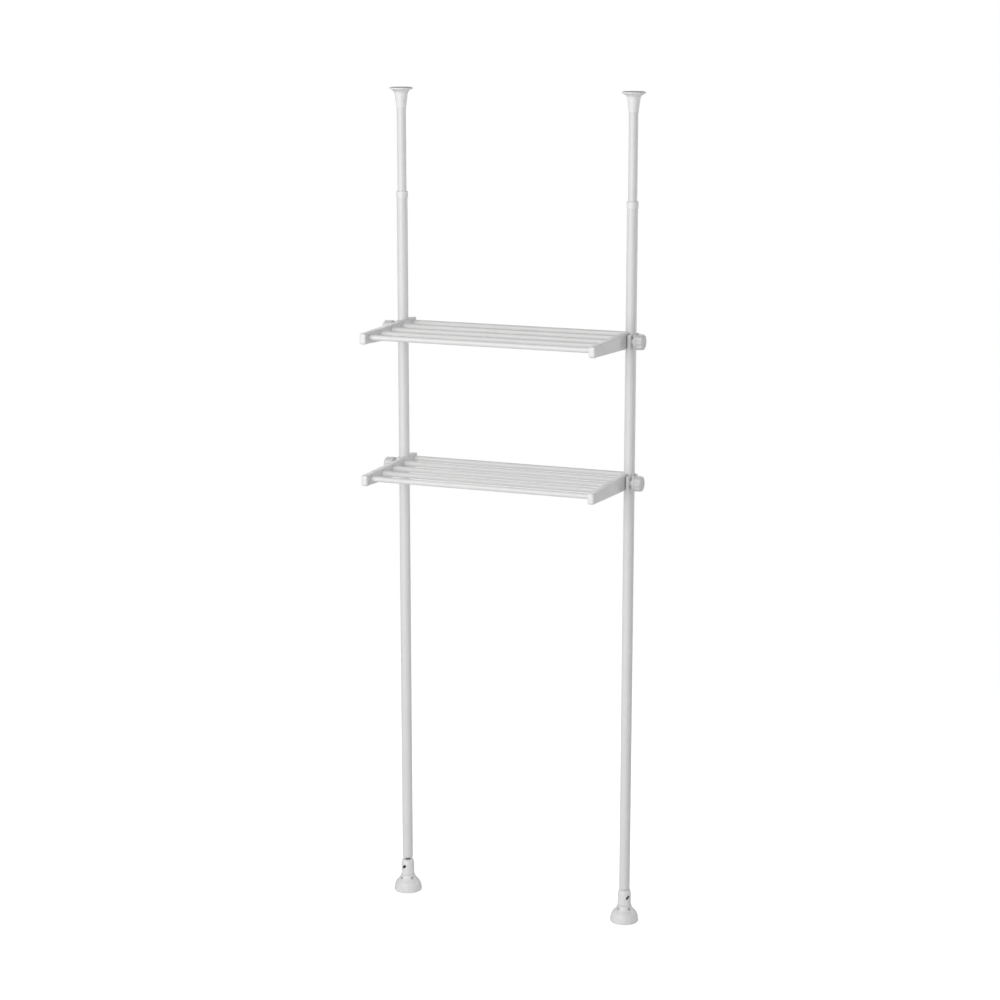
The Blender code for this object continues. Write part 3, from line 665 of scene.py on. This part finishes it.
# %% Ceiling cups
MM = 0.001
CUP_HOLE_R = 0.0040        # between the tube's socket and the rubber's recess
CUP_SIDE = (               # radius, depth below the ceiling and rounding, in millimetres
    (28.5, 1.0, 0.4), (28.5, 3.6, 0.4), (27.3, 4.2, 0.5), (23.5, 6.2, 1.2), (20.0, 8.4, 1.4),
    (17.1, 11.2, 1.8), (15.6, 16.2, 2.2), (14.8, 22.2, 2.4), (13.9, 29.0, 2.6), (13.0, 35.5, 2.6),
    (12.1, 44.0, 2.0), (11.9, 47.4, 0.4), (11.9, 48.5, 0.3))
for side in SIDES:
    node = "ceiling_pad_" + side
    stretch = span(node, Z) / ((CUP_SIDE[-1][1] - CUP_SIDE[0][1]) * MM)
    widen = span(node, X) / 2 / (CUP_SIDE[0][0] * MM)
    cup_top, mouth = high(node, Z), low(node, Z)
    disc = "ceiling_grip_" + side
    recess_r, recess = span(disc, X) / 2 + FIT, low(disc, Z) - FIT
    socket_r, socket_end = THIN_R + FIT, high("upper_pole_" + side, Z) + FIT
    points = [(radius * MM * widen, cup_top - (depth - CUP_SIDE[0][1]) * MM * stretch, rounding * MM)
              for radius, depth, rounding in CUP_SIDE]
    points += [(socket_r, mouth, 0.0), (socket_r, socket_end, 0.0), (CUP_HOLE_R, socket_end, 0.0),
               (CUP_HOLE_R, recess, 0.0), (recess_r, recess, 0.0), (recess_r, cup_top, 0.0003)]
    finished(lathe(points), "ceiling_cup_" + side, node, at=axis_of(node))

# %% [markdown]
# The rubber disc is turned from one outline too. Its upper face has rings of small grooves, which let
# air out and give the rubber edges to grip with.

# %% Ribbed rubber under the ceiling
def grooves(radii, half, level, depth, lip=0.0, root=0.0):
    """Section points of ring grooves cut into a flat face at a level."""
    points = []
    for radius in radii:
        points += [((radius - half) * MM, level, lip), (radius * MM, level + depth, root),
                   ((radius + half) * MM, level, lip)]
    return points


for side in SIDES:
    node = "ceiling_grip_" + side
    disc_r, top, bottom = span(node, X) / 2, high(node, Z), low(node, Z)
    dish = top - 0.0010
    points = [(0.0, dish, 0.0), (0.0060, dish, 0.0), (0.0068, top, 0.0002)]
    points += grooves((10.5, 14.0, 17.5, 21.0), 0.6, top, -0.0006, lip=0.00015, root=0.0001)
    points += [(disc_r, top, 0.0007), (disc_r, bottom, 0.0), (0.0, bottom, 0.0)]
    finished(lathe(points), "ceiling_rubber_" + side, node, at=axis_of(node))

# %% [markdown]
# ## The screw feet
#
# A foot is a hollow bell of moulded plastic on a rubber sole. Its skirt steps inwards three times, and
# then the wall sweeps up into the neck that the sleeve turns in. Four notches cut through the shoulder.
# They are carved after the spin, because a turned shape has no corners round its axis. The small arcs at
# their mouths come last.

# %% Bells
RING_STEP = 0.0007         # each ring round the skirt is this much smaller
NOTCH_WIDTH, NOTCH_INNER, NOTCH_REACH = 0.0088, 0.0150, 0.0120
NOTCH_LOW, NOTCH_HIGH = 0.0320, 0.0392
NOTCH_TURNS = (-30.0, 60.0, 150.0, 240.0)
MOUTH_EDGE = 0.0004
SOLE_R = span("foot_sole_left", X) / 2
SOLE_H = high("foot_sole_left", Z)
BELL_R = span("foot_left", X) / 2
BELL_H = high("foot_left", Z)
RIM_LIFT = low("foot_left", Z)
SLEEVE_R = span("jack_grip_left", X) / 2
NECK_HOLE_R, NECK_DEPTH = 0.0104, 0.0105


def bell_section():
    """Skirt with its rings from the rim upwards, then the shoulder, then back down inside."""
    ring = [BELL_R - RING_STEP * k for k in range(4)]
    flow = 0.0016
    skirt = [(SOLE_R + FIT, RIM_LIFT, 0.0), (ring[0], RIM_LIFT, 0.0008), (ring[0], 0.0072, 0.0003),
             (ring[1], 0.0078, 0.0003), (ring[1], 0.0114, 0.0003), (ring[2], 0.0120, 0.0003),
             (ring[2] - 0.0002, 0.0156, 0.0003), (ring[3] - 0.0003, 0.0162, 0.0003),
             (ring[3] - 0.0010, 0.0190, flow), (ring[3] - 0.0026, 0.0226, flow),
             (ring[3] - 0.0050, 0.0258, flow), (ring[3] - 0.0080, 0.0288, flow)]
    shoulder = [(SLEEVE_R + 0.0056, BELL_H - 0.0108, flow), (SLEEVE_R + 0.0034, BELL_H - 0.0070, flow),
                (SLEEVE_R + 0.0018, BELL_H - 0.0030, 0.0010),
                (SLEEVE_R + 0.0010, BELL_H - 0.0006, 0.0004), (SLEEVE_R + 0.0002, BELL_H, 0.0)]
    hollow = [(NECK_HOLE_R, BELL_H, 0.0), (NECK_HOLE_R, BELL_H - NECK_DEPTH, 0.0),
              (0.0180, BELL_H - 0.0140, 0.0), (0.0258, 0.0205, 0.0),
              (SOLE_R - 0.0022, 0.0120, 0.0), (SOLE_R - 0.0030, SOLE_H + FIT, 0.0),
              (SOLE_R + FIT, SOLE_H + FIT, 0.0)]
    return skirt + shoulder + hollow


def in_notch(edge):
    """Whether an edge belongs to a notch and not to the bell's own curves."""
    centre = (edge.verts[0].co + edge.verts[1].co) / 2
    radius = math.hypot(centre.x, centre.y)
    turn = math.degrees(math.atan2(centre.y, centre.x))
    off = min(abs((turn - way + 180.0) % 360.0 - 180.0) for way in NOTCH_TURNS)
    wide = radius * math.sin(math.radians(off))
    return (wide < NOTCH_WIDTH / 2 + ON_CURVE and radius > NOTCH_INNER + 0.001
            and NOTCH_LOW - ON_CURVE < centre.z < NOTCH_HIGH + ON_CURVE)


for side in SIDES:
    notches = bmesh.new()
    for way in NOTCH_TURNS:
        block(notches, (NOTCH_REACH, NOTCH_WIDTH, NOTCH_HIGH - NOTCH_LOW),
              (NOTCH_INNER + NOTCH_REACH / 2, 0.0, (NOTCH_LOW + NOTCH_HIGH) / 2), way)
    bm = carve(lathe(bell_section()), notches)
    soften(bm, MOUTH_EDGE, in_notch, steps=2)
    finished(bm, "bell_foot_" + side, "foot_" + side, at=axis_of("foot_" + side))

# %% [markdown]
# The sole is a rubber ring pushed into the bell. Its lower face is grooved like the ceiling disc. Only
# its last millimetre shows under the rim, but that dark line is what sets the foot on the floor.

# %% Rubber soles
SOLE_BORE = 0.0090
for side in SIDES:
    node = "foot_sole_" + side
    points = [(SOLE_BORE, 0.0, 0.0002)] + grooves((14.0, 18.5, 23.0, 27.0), 0.7, 0.0, 0.0008)
    points += [(SOLE_R, 0.0, 0.0010), (SOLE_R, SOLE_H, 0.0002), (SOLE_BORE, SOLE_H, 0.0)]
    finished(lathe(points), "floor_rubber_" + side, node, at=axis_of(node))

# %% [markdown]
# ### The sleeve that turns the screw
#
# Over the bell sits a sleeve that turns like a nut on the dark screw and so lifts or lowers the tube. A
# slanted oval slot takes a bar or a screwdriver for the last tight turn. The sleeve is a lathe piece:
# threaded end below, hollow above, a snap lip inside the bell and a short cone at the top that leads
# over to the tube. An oval plate, extruded along the slot's direction, carves the slot.

# %% Jack sleeves
SEAT = BELL_H + FIT
SLEEVE_H = high("jack_grip_left", Z) - SEAT
SLEEVE_CONE = 0.0085
SLEEVE_WALL = 0.0022       # thin, so that the slot looks dark over its whole width
SCREW_R, SCREW_PLAY = 0.0061, 0.0004
NUT_H = 0.0120
LIP_R = NECK_HOLE_R - 0.0005
SLOT_LENGTH, SLOT_WIDTH, SLOT_SLANT = 0.0125, 0.0072, 38.0
SLOT_SHARE = 0.70          # height of the slot's middle, as a share of the straight part
SLOT_ROUND = 0.98          # corner rounding, as a share of half the width: almost a half circle
SLEEVE_TURN = {"left": -14.0, "right": 52.0}


def sleeve_section():
    """Snap lip below, the outside up to the cone, then back down inside to the nut thread."""
    bore, hollow = SCREW_R + SCREW_PLAY, SLEEVE_R - SLEEVE_WALL
    lip = -NECK_DEPTH - 2 * FIT
    cone = SLEEVE_H - SLEEVE_CONE
    return [(bore, lip - 0.0030, 0.0), (LIP_R - 0.0010, lip - 0.0030, 0.0),
            (LIP_R + 0.0011, lip - 0.0018, 0.0003), (LIP_R + 0.0011, lip, 0.0), (LIP_R, lip, 0.0),
            (LIP_R, 0.0, 0.0), (SLEEVE_R, 0.0, 0.0005), (SLEEVE_R, cone, 0.0007),
            (SLEEVE_R - 0.0007, cone + 0.0009, 0.0007), (TUBE_R + 0.0010, SLEEVE_H - 0.0008, 0.0004),
            (TUBE_R, SLEEVE_H, 0.0002), (bore, SLEEVE_H, 0.0003), (bore, SLEEVE_H - 0.0045, 0.0),
            (hollow, cone, 0.0005), (hollow, NUT_H, 0.0), (bore, NUT_H, 0.0)]


for side in SIDES:
    aim_slot = Matrix.Rotation(math.radians(SLEEVE_TURN[side]), 3, "Z") @ Vector((0, -1, 0))
    along = Matrix.Rotation(math.radians(SLOT_SLANT), 3, aim_slot) @ aim_slot.cross(Vector((0, 0, -1)))
    across = aim_slot.cross(along)
    start = Vector((0, 0, (SLEEVE_H - SLEEVE_CONE) * SLOT_SHARE))
    start += aim_slot * (SCREW_R + SCREW_PLAY + 0.0010)
    half, end_r = SLOT_LENGTH / 2, SLOT_WIDTH / 2
    oval = [(a * half, b * end_r, end_r * SLOT_ROUND) for a, b in ((-1, -1), (1, -1), (1, 1), (-1, 1))]
    slot = slab(oval, lambda a, b: start + along * a + across * b, aim_slot * (SLEEVE_R + 0.002))

    def round_slot(edge):
        centre = (edge.verts[0].co + edge.verts[1].co) / 2 - start
        inside = (abs(centre.dot(along)) < half + 2 * ON_CURVE
                  and abs(centre.dot(across)) < end_r + 2 * ON_CURVE)
        outer = min(math.hypot(v.co.x, v.co.y) for v in edge.verts) > SLEEVE_R - 0.0003
        return inside and outer and centre.dot(aim_slot) > 0

    bm = carve(lathe(sleeve_section()), slot)
    soften(bm, MOUTH_EDGE, round_slot, steps=2)
    place = middle("jack_grip_" + side)
    finished(bm, "jack_sleeve_" + side, "jack_grip_" + side, at=(POLE_X * SIDES[side], place.y, SEAT))

# %% [markdown]
# ### Plug and screw
#
# A plug closes the thick tube's lower end. Its flange is the pale rim over the sleeve, and the screw's
# head sits on it. The thread is one small four-cornered outline, spun round and raised by one pitch for
# each turn: the same path that a cutter takes on a real lathe. It is sunk slightly into the screw's core.

# %% Plugs and screws
PITCH, THREAD_DEPTH = 0.0040, 0.0008
THREAD_L, THREAD_END = 0.0360, 0.0020
THREAD_SINK = 0.0002       # how deep the ridge is sunk into the core
ROOT_SHARE, CREST_SHARE = 0.36, 0.12  # half widths of the ridge, as shares of the pitch
TURN_STEPS = 32
FLANGE_H = 0.0020


def thread_ridge(bm, core, depth, pitch, start, turns):
    """Add a closed helical ridge round Z to bm."""
    section = ((-THREAD_SINK, -ROOT_SHARE), (depth, -CREST_SHARE), (depth, CREST_SHARE),
               (-THREAD_SINK, ROOT_SHARE))
    corners = [bm.verts.new((core + rise, 0.0, start + height * pitch)) for rise, height in section]
    ridge = bmesh.ops.contextual_create(bm, geom=corners)["faces"]
    steps = round(turns * TURN_STEPS)
    spin(bm, ridge, 2 * math.pi * steps / TURN_STEPS, steps, rise=pitch / TURN_STEPS)


for side in SIDES:
    tube_end = low("lower_pole_" + side, Z)
    plug, screw = "jack_plug_" + side, "jack_spindle_" + side
    plug_r, plug_top = TUBE_R - TUBE_WALL - FIT, high(plug, Z) - tube_end
    bore = SCREW_R + FIT
    section = [(bore, -FLANGE_H - FIT, 0.0002), (TUBE_R, -FLANGE_H - FIT, 0.0005),
               (TUBE_R, -FIT, 0.0003), (plug_r, -FIT, 0.0), (plug_r, plug_top, 0.0010),
               (bore, plug_top, 0.0)]
    place = (POLE_X * SIDES[side], POLE_Y, tube_end)
    finished(lathe(section), "tube_plug_" + side, plug, at=place)

    core = SCREW_R - THREAD_DEPTH
    foot_end, head = low(screw, Z) - tube_end, high(screw, Z) - tube_end
    neck = -FLANGE_H - THREAD_DEPTH
    head_r, under = SCREW_R + 0.0030, plug_top + FIT
    shaft = [(0.0, foot_end, 0.0), (core, foot_end, 0.0008), (core, neck, 0.0),
             (SCREW_R, -FLANGE_H, 0.0), (SCREW_R, under, 0.0), (head_r, under, 0.0003),
             (head_r, head, 0.0007), (0.0, head, 0.0)]
    bm = lathe(shaft, 48)
    thread_ridge(bm, core, THREAD_DEPTH, PITCH, neck - THREAD_L, (THREAD_L - THREAD_END) / PITCH)
    finished(bm, "jack_screw_" + side, screw, at=place)

# %% [markdown]
# ## The shelves
#
# A shelf is five coated rails between two moulded arms. The rails are tubes, like the poles, only laid
# along X. All five have one size, so a loop makes them.

# %% Rails
for shelf in SHELVES:
    for number in range(1, 6):
        tube("rail_%s_%d" % (shelf, number), "shelf_rail_%s_%d" % (shelf, number), segments=56)

# %% [markdown]
# ### The side arms
#
# An arm starts as its side view: a bar that is slim at the front, deeper at the pole and cut at a slant
# behind. The slab gives it thickness, and a bevel rounds every long edge as a mould would. Then one
# carving takes out all that meets another piece: five blind sockets for the rails, the half-round saddle
# for the pole, the hole for the clamp screw and the pocket for the front cap. The mouths get a small
# radius, which catches a thin line of light.

# %% Arms
ARM_EDGE = 0.0018
ARM_FRONT_H = 0.0255
ARM_SLANT_H, ARM_SLANT_L = 0.0250, 0.0250
SOCKET_DEPTH = 0.0090
PIN_R, PIN_AHEAD, PIN_DROP, PIN_SEAT = 0.0040, 0.0210, 0.0210, 0.0108
SPIGOT_L, SPIGOT_INSET = 0.0055, 0.0040
RAIL_R = span("rail_upper_1", Z) / 2
# How far each carving tool reaches past the surface that it cuts
SOCKET_PAST, POLE_PAST, PIN_PAST, POCKET_PAST = 0.005, 0.020, 0.003, 0.004


def arm_faces(node, way):
    """Inner and outer face of an arm, as places on X."""
    return (low(node, X), high(node, X)) if way > 0 else (high(node, X), low(node, X))


def arm_holes(way, inner, outer, front, bottom, top, rails):
    """All that is carved out of an arm: sockets, saddle, screw hole and the cap's pocket."""
    holes = bmesh.new()
    for rail in rails:
        rod(holes, RAIL_R + FIT, (inner - way * SOCKET_PAST, rail.y, rail.z),
            (inner + way * SOCKET_DEPTH, rail.y, rail.z))
    rod(holes, TUBE_R + SLIDE, (way * POLE_X, POLE_Y, bottom - POLE_PAST),
        (way * POLE_X, POLE_Y, top + POLE_PAST), segments=96)
    pin_y, pin_z = POLE_Y - PIN_AHEAD, top - PIN_DROP
    rod(holes, PIN_R + FIT, (outer + way * PIN_PAST, pin_y, pin_z),
        (outer - way * PIN_SEAT, pin_y, pin_z), segments=32)
    block(holes, (abs(outer - inner) - 2 * SPIGOT_INSET, POCKET_PAST + SPIGOT_L + FIT,
                  ARM_FRONT_H - 2 * SPIGOT_INSET),
          ((inner + outer) / 2, front + (SPIGOT_L + FIT - POCKET_PAST) / 2, top - ARM_FRONT_H / 2))
    return holes


for corner, way in CORNERS.items():
    node, shelf = "arm_" + corner, corner.split("_")[0]
    rails = [middle("rail_%s_%d" % (shelf, number)) for number in range(1, 6)]
    inner, outer = arm_faces(node, way)
    front, rear, bottom, top = low(node, Y), high(node, Y), low(node, Z), high(node, Z)
    side_view = [(front, top, 0.0), (front, top - ARM_FRONT_H, 0.0),
                 (rear - ARM_SLANT_L, bottom, 0.0024), (rear, top - ARM_SLANT_H, 0.0027),
                 (rear, top, 0.0040)]
    bm = slab(side_view, lambda y, z: (inner, y, z), (outer - inner, 0, 0))
    soften(bm, ARM_EDGE)
    bm = carve(bm, arm_holes(way, inner, outer, front, bottom, top, rails))

    def mouth(edge):
        """Whether an edge is the rim of a rail's socket or of the pole's saddle."""
        spots = [v.co for v in edge.verts]
        at_rail = all(abs(s.x - inner) < ON_FACE for s in spots) and any(
            all(abs(math.hypot(s.y - r.y, s.z - r.z) - RAIL_R - FIT) < ON_CURVE for s in spots)
            for r in rails)
        at_pole = all(abs(s.x - outer) < ON_FACE and abs(s.y - POLE_Y) < TUBE_R + 0.001
                      and bottom + 0.001 < s.z < top - 0.001 for s in spots)
        return at_rail or at_pole

    soften(bm, MOUTH_EDGE, mouth, steps=2)
    finished(bm, "side_arm_" + corner, node)

# %% [markdown]
# ### Front caps
#
# A bright cap closes each arm's front end. It is a slab as well, a little larger than the arm, and all
# edges except those at the arm are strongly rounded. A spigot behind it plugs into the arm: the cap's
# back face is inset and pushed out, so that cap and spigot are one moulding.

# %% Caps
CAP_EDGE = 0.0048
SPIGOT_OUT = 0.0058
for corner, way in CORNERS.items():
    node = "arm_cap_" + corner
    inner, outer = arm_faces(node, way)
    front, back = low(node, Y), low("arm_" + corner, Y) - FIT
    bottom, top = low(node, Z), high(node, Z)
    side_view = [(back, top, 0.0), (front, top, 0.0050), (front, bottom, 0.0070), (back, bottom, 0.0)]
    bm = slab(side_view, lambda y, z: (inner, y, z), (outer - inner, 0, 0))
    soften(bm, CAP_EDGE, lambda edge: min(v.co.y for v in edge.verts) < back - TINY, steps=6)

    def at_back(face):
        return all(abs(v.co.y - back) < TINY for v in face.verts)

    bmesh.ops.inset_region(bm, faces=[face for face in bm.faces if at_back(face)],
                           thickness=SPIGOT_INSET + 0.0008, use_even_offset=True)
    back_middle = Vector(((inner + outer) / 2, back, (bottom + top) / 2))
    core = min((face for face in bm.faces if at_back(face)),
               key=lambda face: (face.calc_center_median() - back_middle).length)
    extrude(bm, [core], (0, SPIGOT_OUT, 0))
    bmesh.ops.delete(bm, geom=[core], context="FACES_ONLY")
    finished(bm, "front_cap_" + corner, node, limit=50.0)

# %% [markdown]
# ### The clamps
#
# Arm and jaw grip the tube between them. A soft lining in the jaw's groove saves the coating. It is a
# thin strip bent round the tube: its small cross-section is one face, which the spin carries through
# part of a turn.

# %% The strip that lines a jaw
LINING_T, LINING_ARC, LINING_STEPS = 0.0014, 112.0, 24
LINING_ROUND = 0.0003
GROOVE_R = TUBE_R + SLIDE + LINING_T + FIT


def bent_strip(node, way):
    """Strip round Z that lies on the pole's outer side."""
    inside, outside = TUBE_R + SLIDE, GROOVE_R - FIT
    bottom, top = low(node, Z), high(node, Z)
    corners = ((inside, bottom), (outside, bottom), (outside, top), (inside, top))
    bm = outline([(*corner, LINING_ROUND) for corner in corners],
                 lambda radius, height: (radius, 0.0, height))
    bmesh.ops.edgeloop_fill(bm, edges=bm.edges[:])
    spin(bm, bm.faces[:], math.radians(LINING_ARC), LINING_STEPS)
    facing = -LINING_ARC / 2 + (0.0 if way > 0 else 180.0)
    rotate(bm, math.radians(facing), "Z")
    return bm


print("a lining covers %d degrees of the tube" % LINING_ARC)

# %% [markdown]
# The jaw is drawn from above: a thick part that hugs the tube's outer half, and a thinner lip in front
# that the screw goes through. The knob's thread pulls the jaw to the arm when it is turned.

# %% Jaws with their linings
JAW_EDGE = 0.0010
JAW_LIP, JAW_NOSE, JAW_TAIL = 0.0100, 0.0110, 0.0042
KNOB_NECK_R = 0.0070


def reach(node, way):
    """How near and how far a solid lies from its pole's axis, counted outwards along X."""
    return sorted(way * x - POLE_X for x in (low(node, X), high(node, X)))


for corner, way in CORNERS.items():
    node, lining = "clamp_jaw_" + corner, "clamp_liner_" + corner
    near, far = reach(node, way)
    bottom, top = low(node, Z), high(node, Z)
    step, rear = -PIN_AHEAD + KNOB_NECK_R + FIT, TUBE_R + JAW_TAIL
    plan = [(near, -PIN_AHEAD - JAW_NOSE, 0.0020), (JAW_LIP, -PIN_AHEAD - JAW_NOSE, 0.0036),
            (JAW_LIP, step, 0.0006), (far, step, 0.0030), (far, rear, 0.0060), (near, rear, 0.0)]
    bm = slab(plan, lambda u, y: (way * u, y, bottom), (0, 0, top - bottom))
    soften(bm, JAW_EDGE)
    holes = bmesh.new()
    rod(holes, GROOVE_R, (0, 0, bottom - POLE_PAST), (0, 0, top + POLE_PAST), segments=96)
    pin_z = (bottom + top) / 2
    rod(holes, PIN_R + SCREW_PLAY, (way * (near - PIN_PAST), -PIN_AHEAD, pin_z),
        (way * (far + PIN_PAST), -PIN_AHEAD, pin_z), segments=32)
    place = (way * POLE_X, POLE_Y, 0.0)
    finished(carve(bm, holes), "pole_jaw_" + corner, node, at=place)
    finished(bent_strip(lining, way), "jaw_lining_" + corner, lining, at=place)

# %% [markdown]
# The clamp screw is fixed in the arm, and the knob runs on its thread. Both are turned about Z first and
# then laid down, so that the same section serves the left and the right side.

# %% Clamp screws
PIN_PITCH, PIN_DEPTH, PIN_THREAD_L = 0.0025, 0.0005, 0.0125
PIN_RUN_IN = 0.0016        # plain core before the thread and after it
for corner, way in CORNERS.items():
    node = "clamp_stud_" + corner
    seat, tip = reach(node, way)
    core, thread_start = PIN_R - PIN_DEPTH, tip - PIN_THREAD_L
    section = [(0.0, seat, 0.0), (PIN_R, seat, 0.0006), (PIN_R, thread_start, 0.0002),
               (core, thread_start + PIN_DEPTH, 0.0), (core, tip, 0.0005), (0.0, tip, 0.0)]
    bm = lathe(section, 32)
    thread_ridge(bm, core, PIN_DEPTH, PIN_PITCH, thread_start + PIN_RUN_IN,
                 (PIN_THREAD_L - 2 * PIN_RUN_IN) / PIN_PITCH)
    rotate(bm, way * math.pi / 2, "Y")
    place = middle(node)
    finished(bm, "clamp_screw_" + corner, node, at=(way * POLE_X, place.y, place.z))

# %% [markdown]
# ### The fluted knobs
#
# A knob has a neck towards the jaw, a round flange, a fine groove and then the drum that fingers grip.
# We turn it as a plain drum and press eight flutes into it by moving its vertices inwards along a wave.
# The wave is squared, which leaves broad ridges between narrow hollows. The flange and the neck stay
# round, and the end face is slightly dished.

# %% Knobs
FLUTES, FLUTE_DEPTH = 8, 0.0021
FLUTE_STEPS = 14           # facets to one flute and its ridge
FLANGE_T = 0.0056
NECK_END = 0.0072          # from the neck's end to the flange
GROOVE_W, GROOVE_D = 0.0014, 0.0009
FLUTE_START, FLUTE_RISE = 0.0009, 0.0012


def press_flutes(bm, knob_r, groove):
    """Move the drum's vertices inwards along a squared wave, from the groove to the end face."""
    drum = groove + FLUTE_START
    for vert in bm.verts:
        radius = math.hypot(vert.co.x, vert.co.y)
        if radius < KNOB_NECK_R + 0.0002 or vert.co.z < drum:
            continue
        wave = 0.5 - 0.5 * math.cos(FLUTES * math.atan2(vert.co.y, vert.co.x))
        share = min(1.0, (radius - KNOB_NECK_R) / (knob_r - KNOB_NECK_R - 0.0012))
        rise = min(1.0, (vert.co.z - drum) / FLUTE_RISE)
        keep = 1.0 - FLUTE_DEPTH * share * rise * wave ** 2 / radius
        vert.co.x *= keep
        vert.co.y *= keep


for corner, way in CORNERS.items():
    node = "clamp_knob_" + corner
    neck, end = reach(node, way)
    tip = reach("clamp_stud_" + corner, way)[1]
    knob_r, bore = span(node, Z) / 2, PIN_R + SCREW_PLAY
    flange = neck + NECK_END
    groove = flange + FLANGE_T
    outside = [(KNOB_NECK_R, neck, 0.0003), (KNOB_NECK_R, flange, 0.0), (knob_r, flange, 0.0010),
               (knob_r, groove, 0.0004), (knob_r - GROOVE_D, groove + 0.0001, 0.0),
               (knob_r - GROOVE_D, groove + 0.0006, 0.0), (knob_r, groove + GROOVE_W, 0.0003),
               (knob_r - 0.0002, groove + 0.0050, 0.0), (knob_r - 0.0003, end - 0.0080, 0.0),
               (knob_r - 0.0006, end, 0.0046)]
    end_face = [(knob_r - 0.0074, end, 0.0006), (knob_r - 0.0082, end - 0.0007, 0.0003),
                (0.0, end - 0.0009, 0.0)]
    hole = [(0.0, tip + 0.0018, 0.0), (bore, tip + 0.0006, 0.0)]
    bm = lathe([(bore, neck, 0.0)] + outside + end_face + hole, FLUTES * FLUTE_STEPS)
    press_flutes(bm, knob_r, groove)
    rotate(bm, way * math.pi / 2, "Y")
    place = middle(node)
    finished(bm, "fluted_knob_" + corner, node, at=(way * POLE_X, place.y, place.z), limit=40.0)
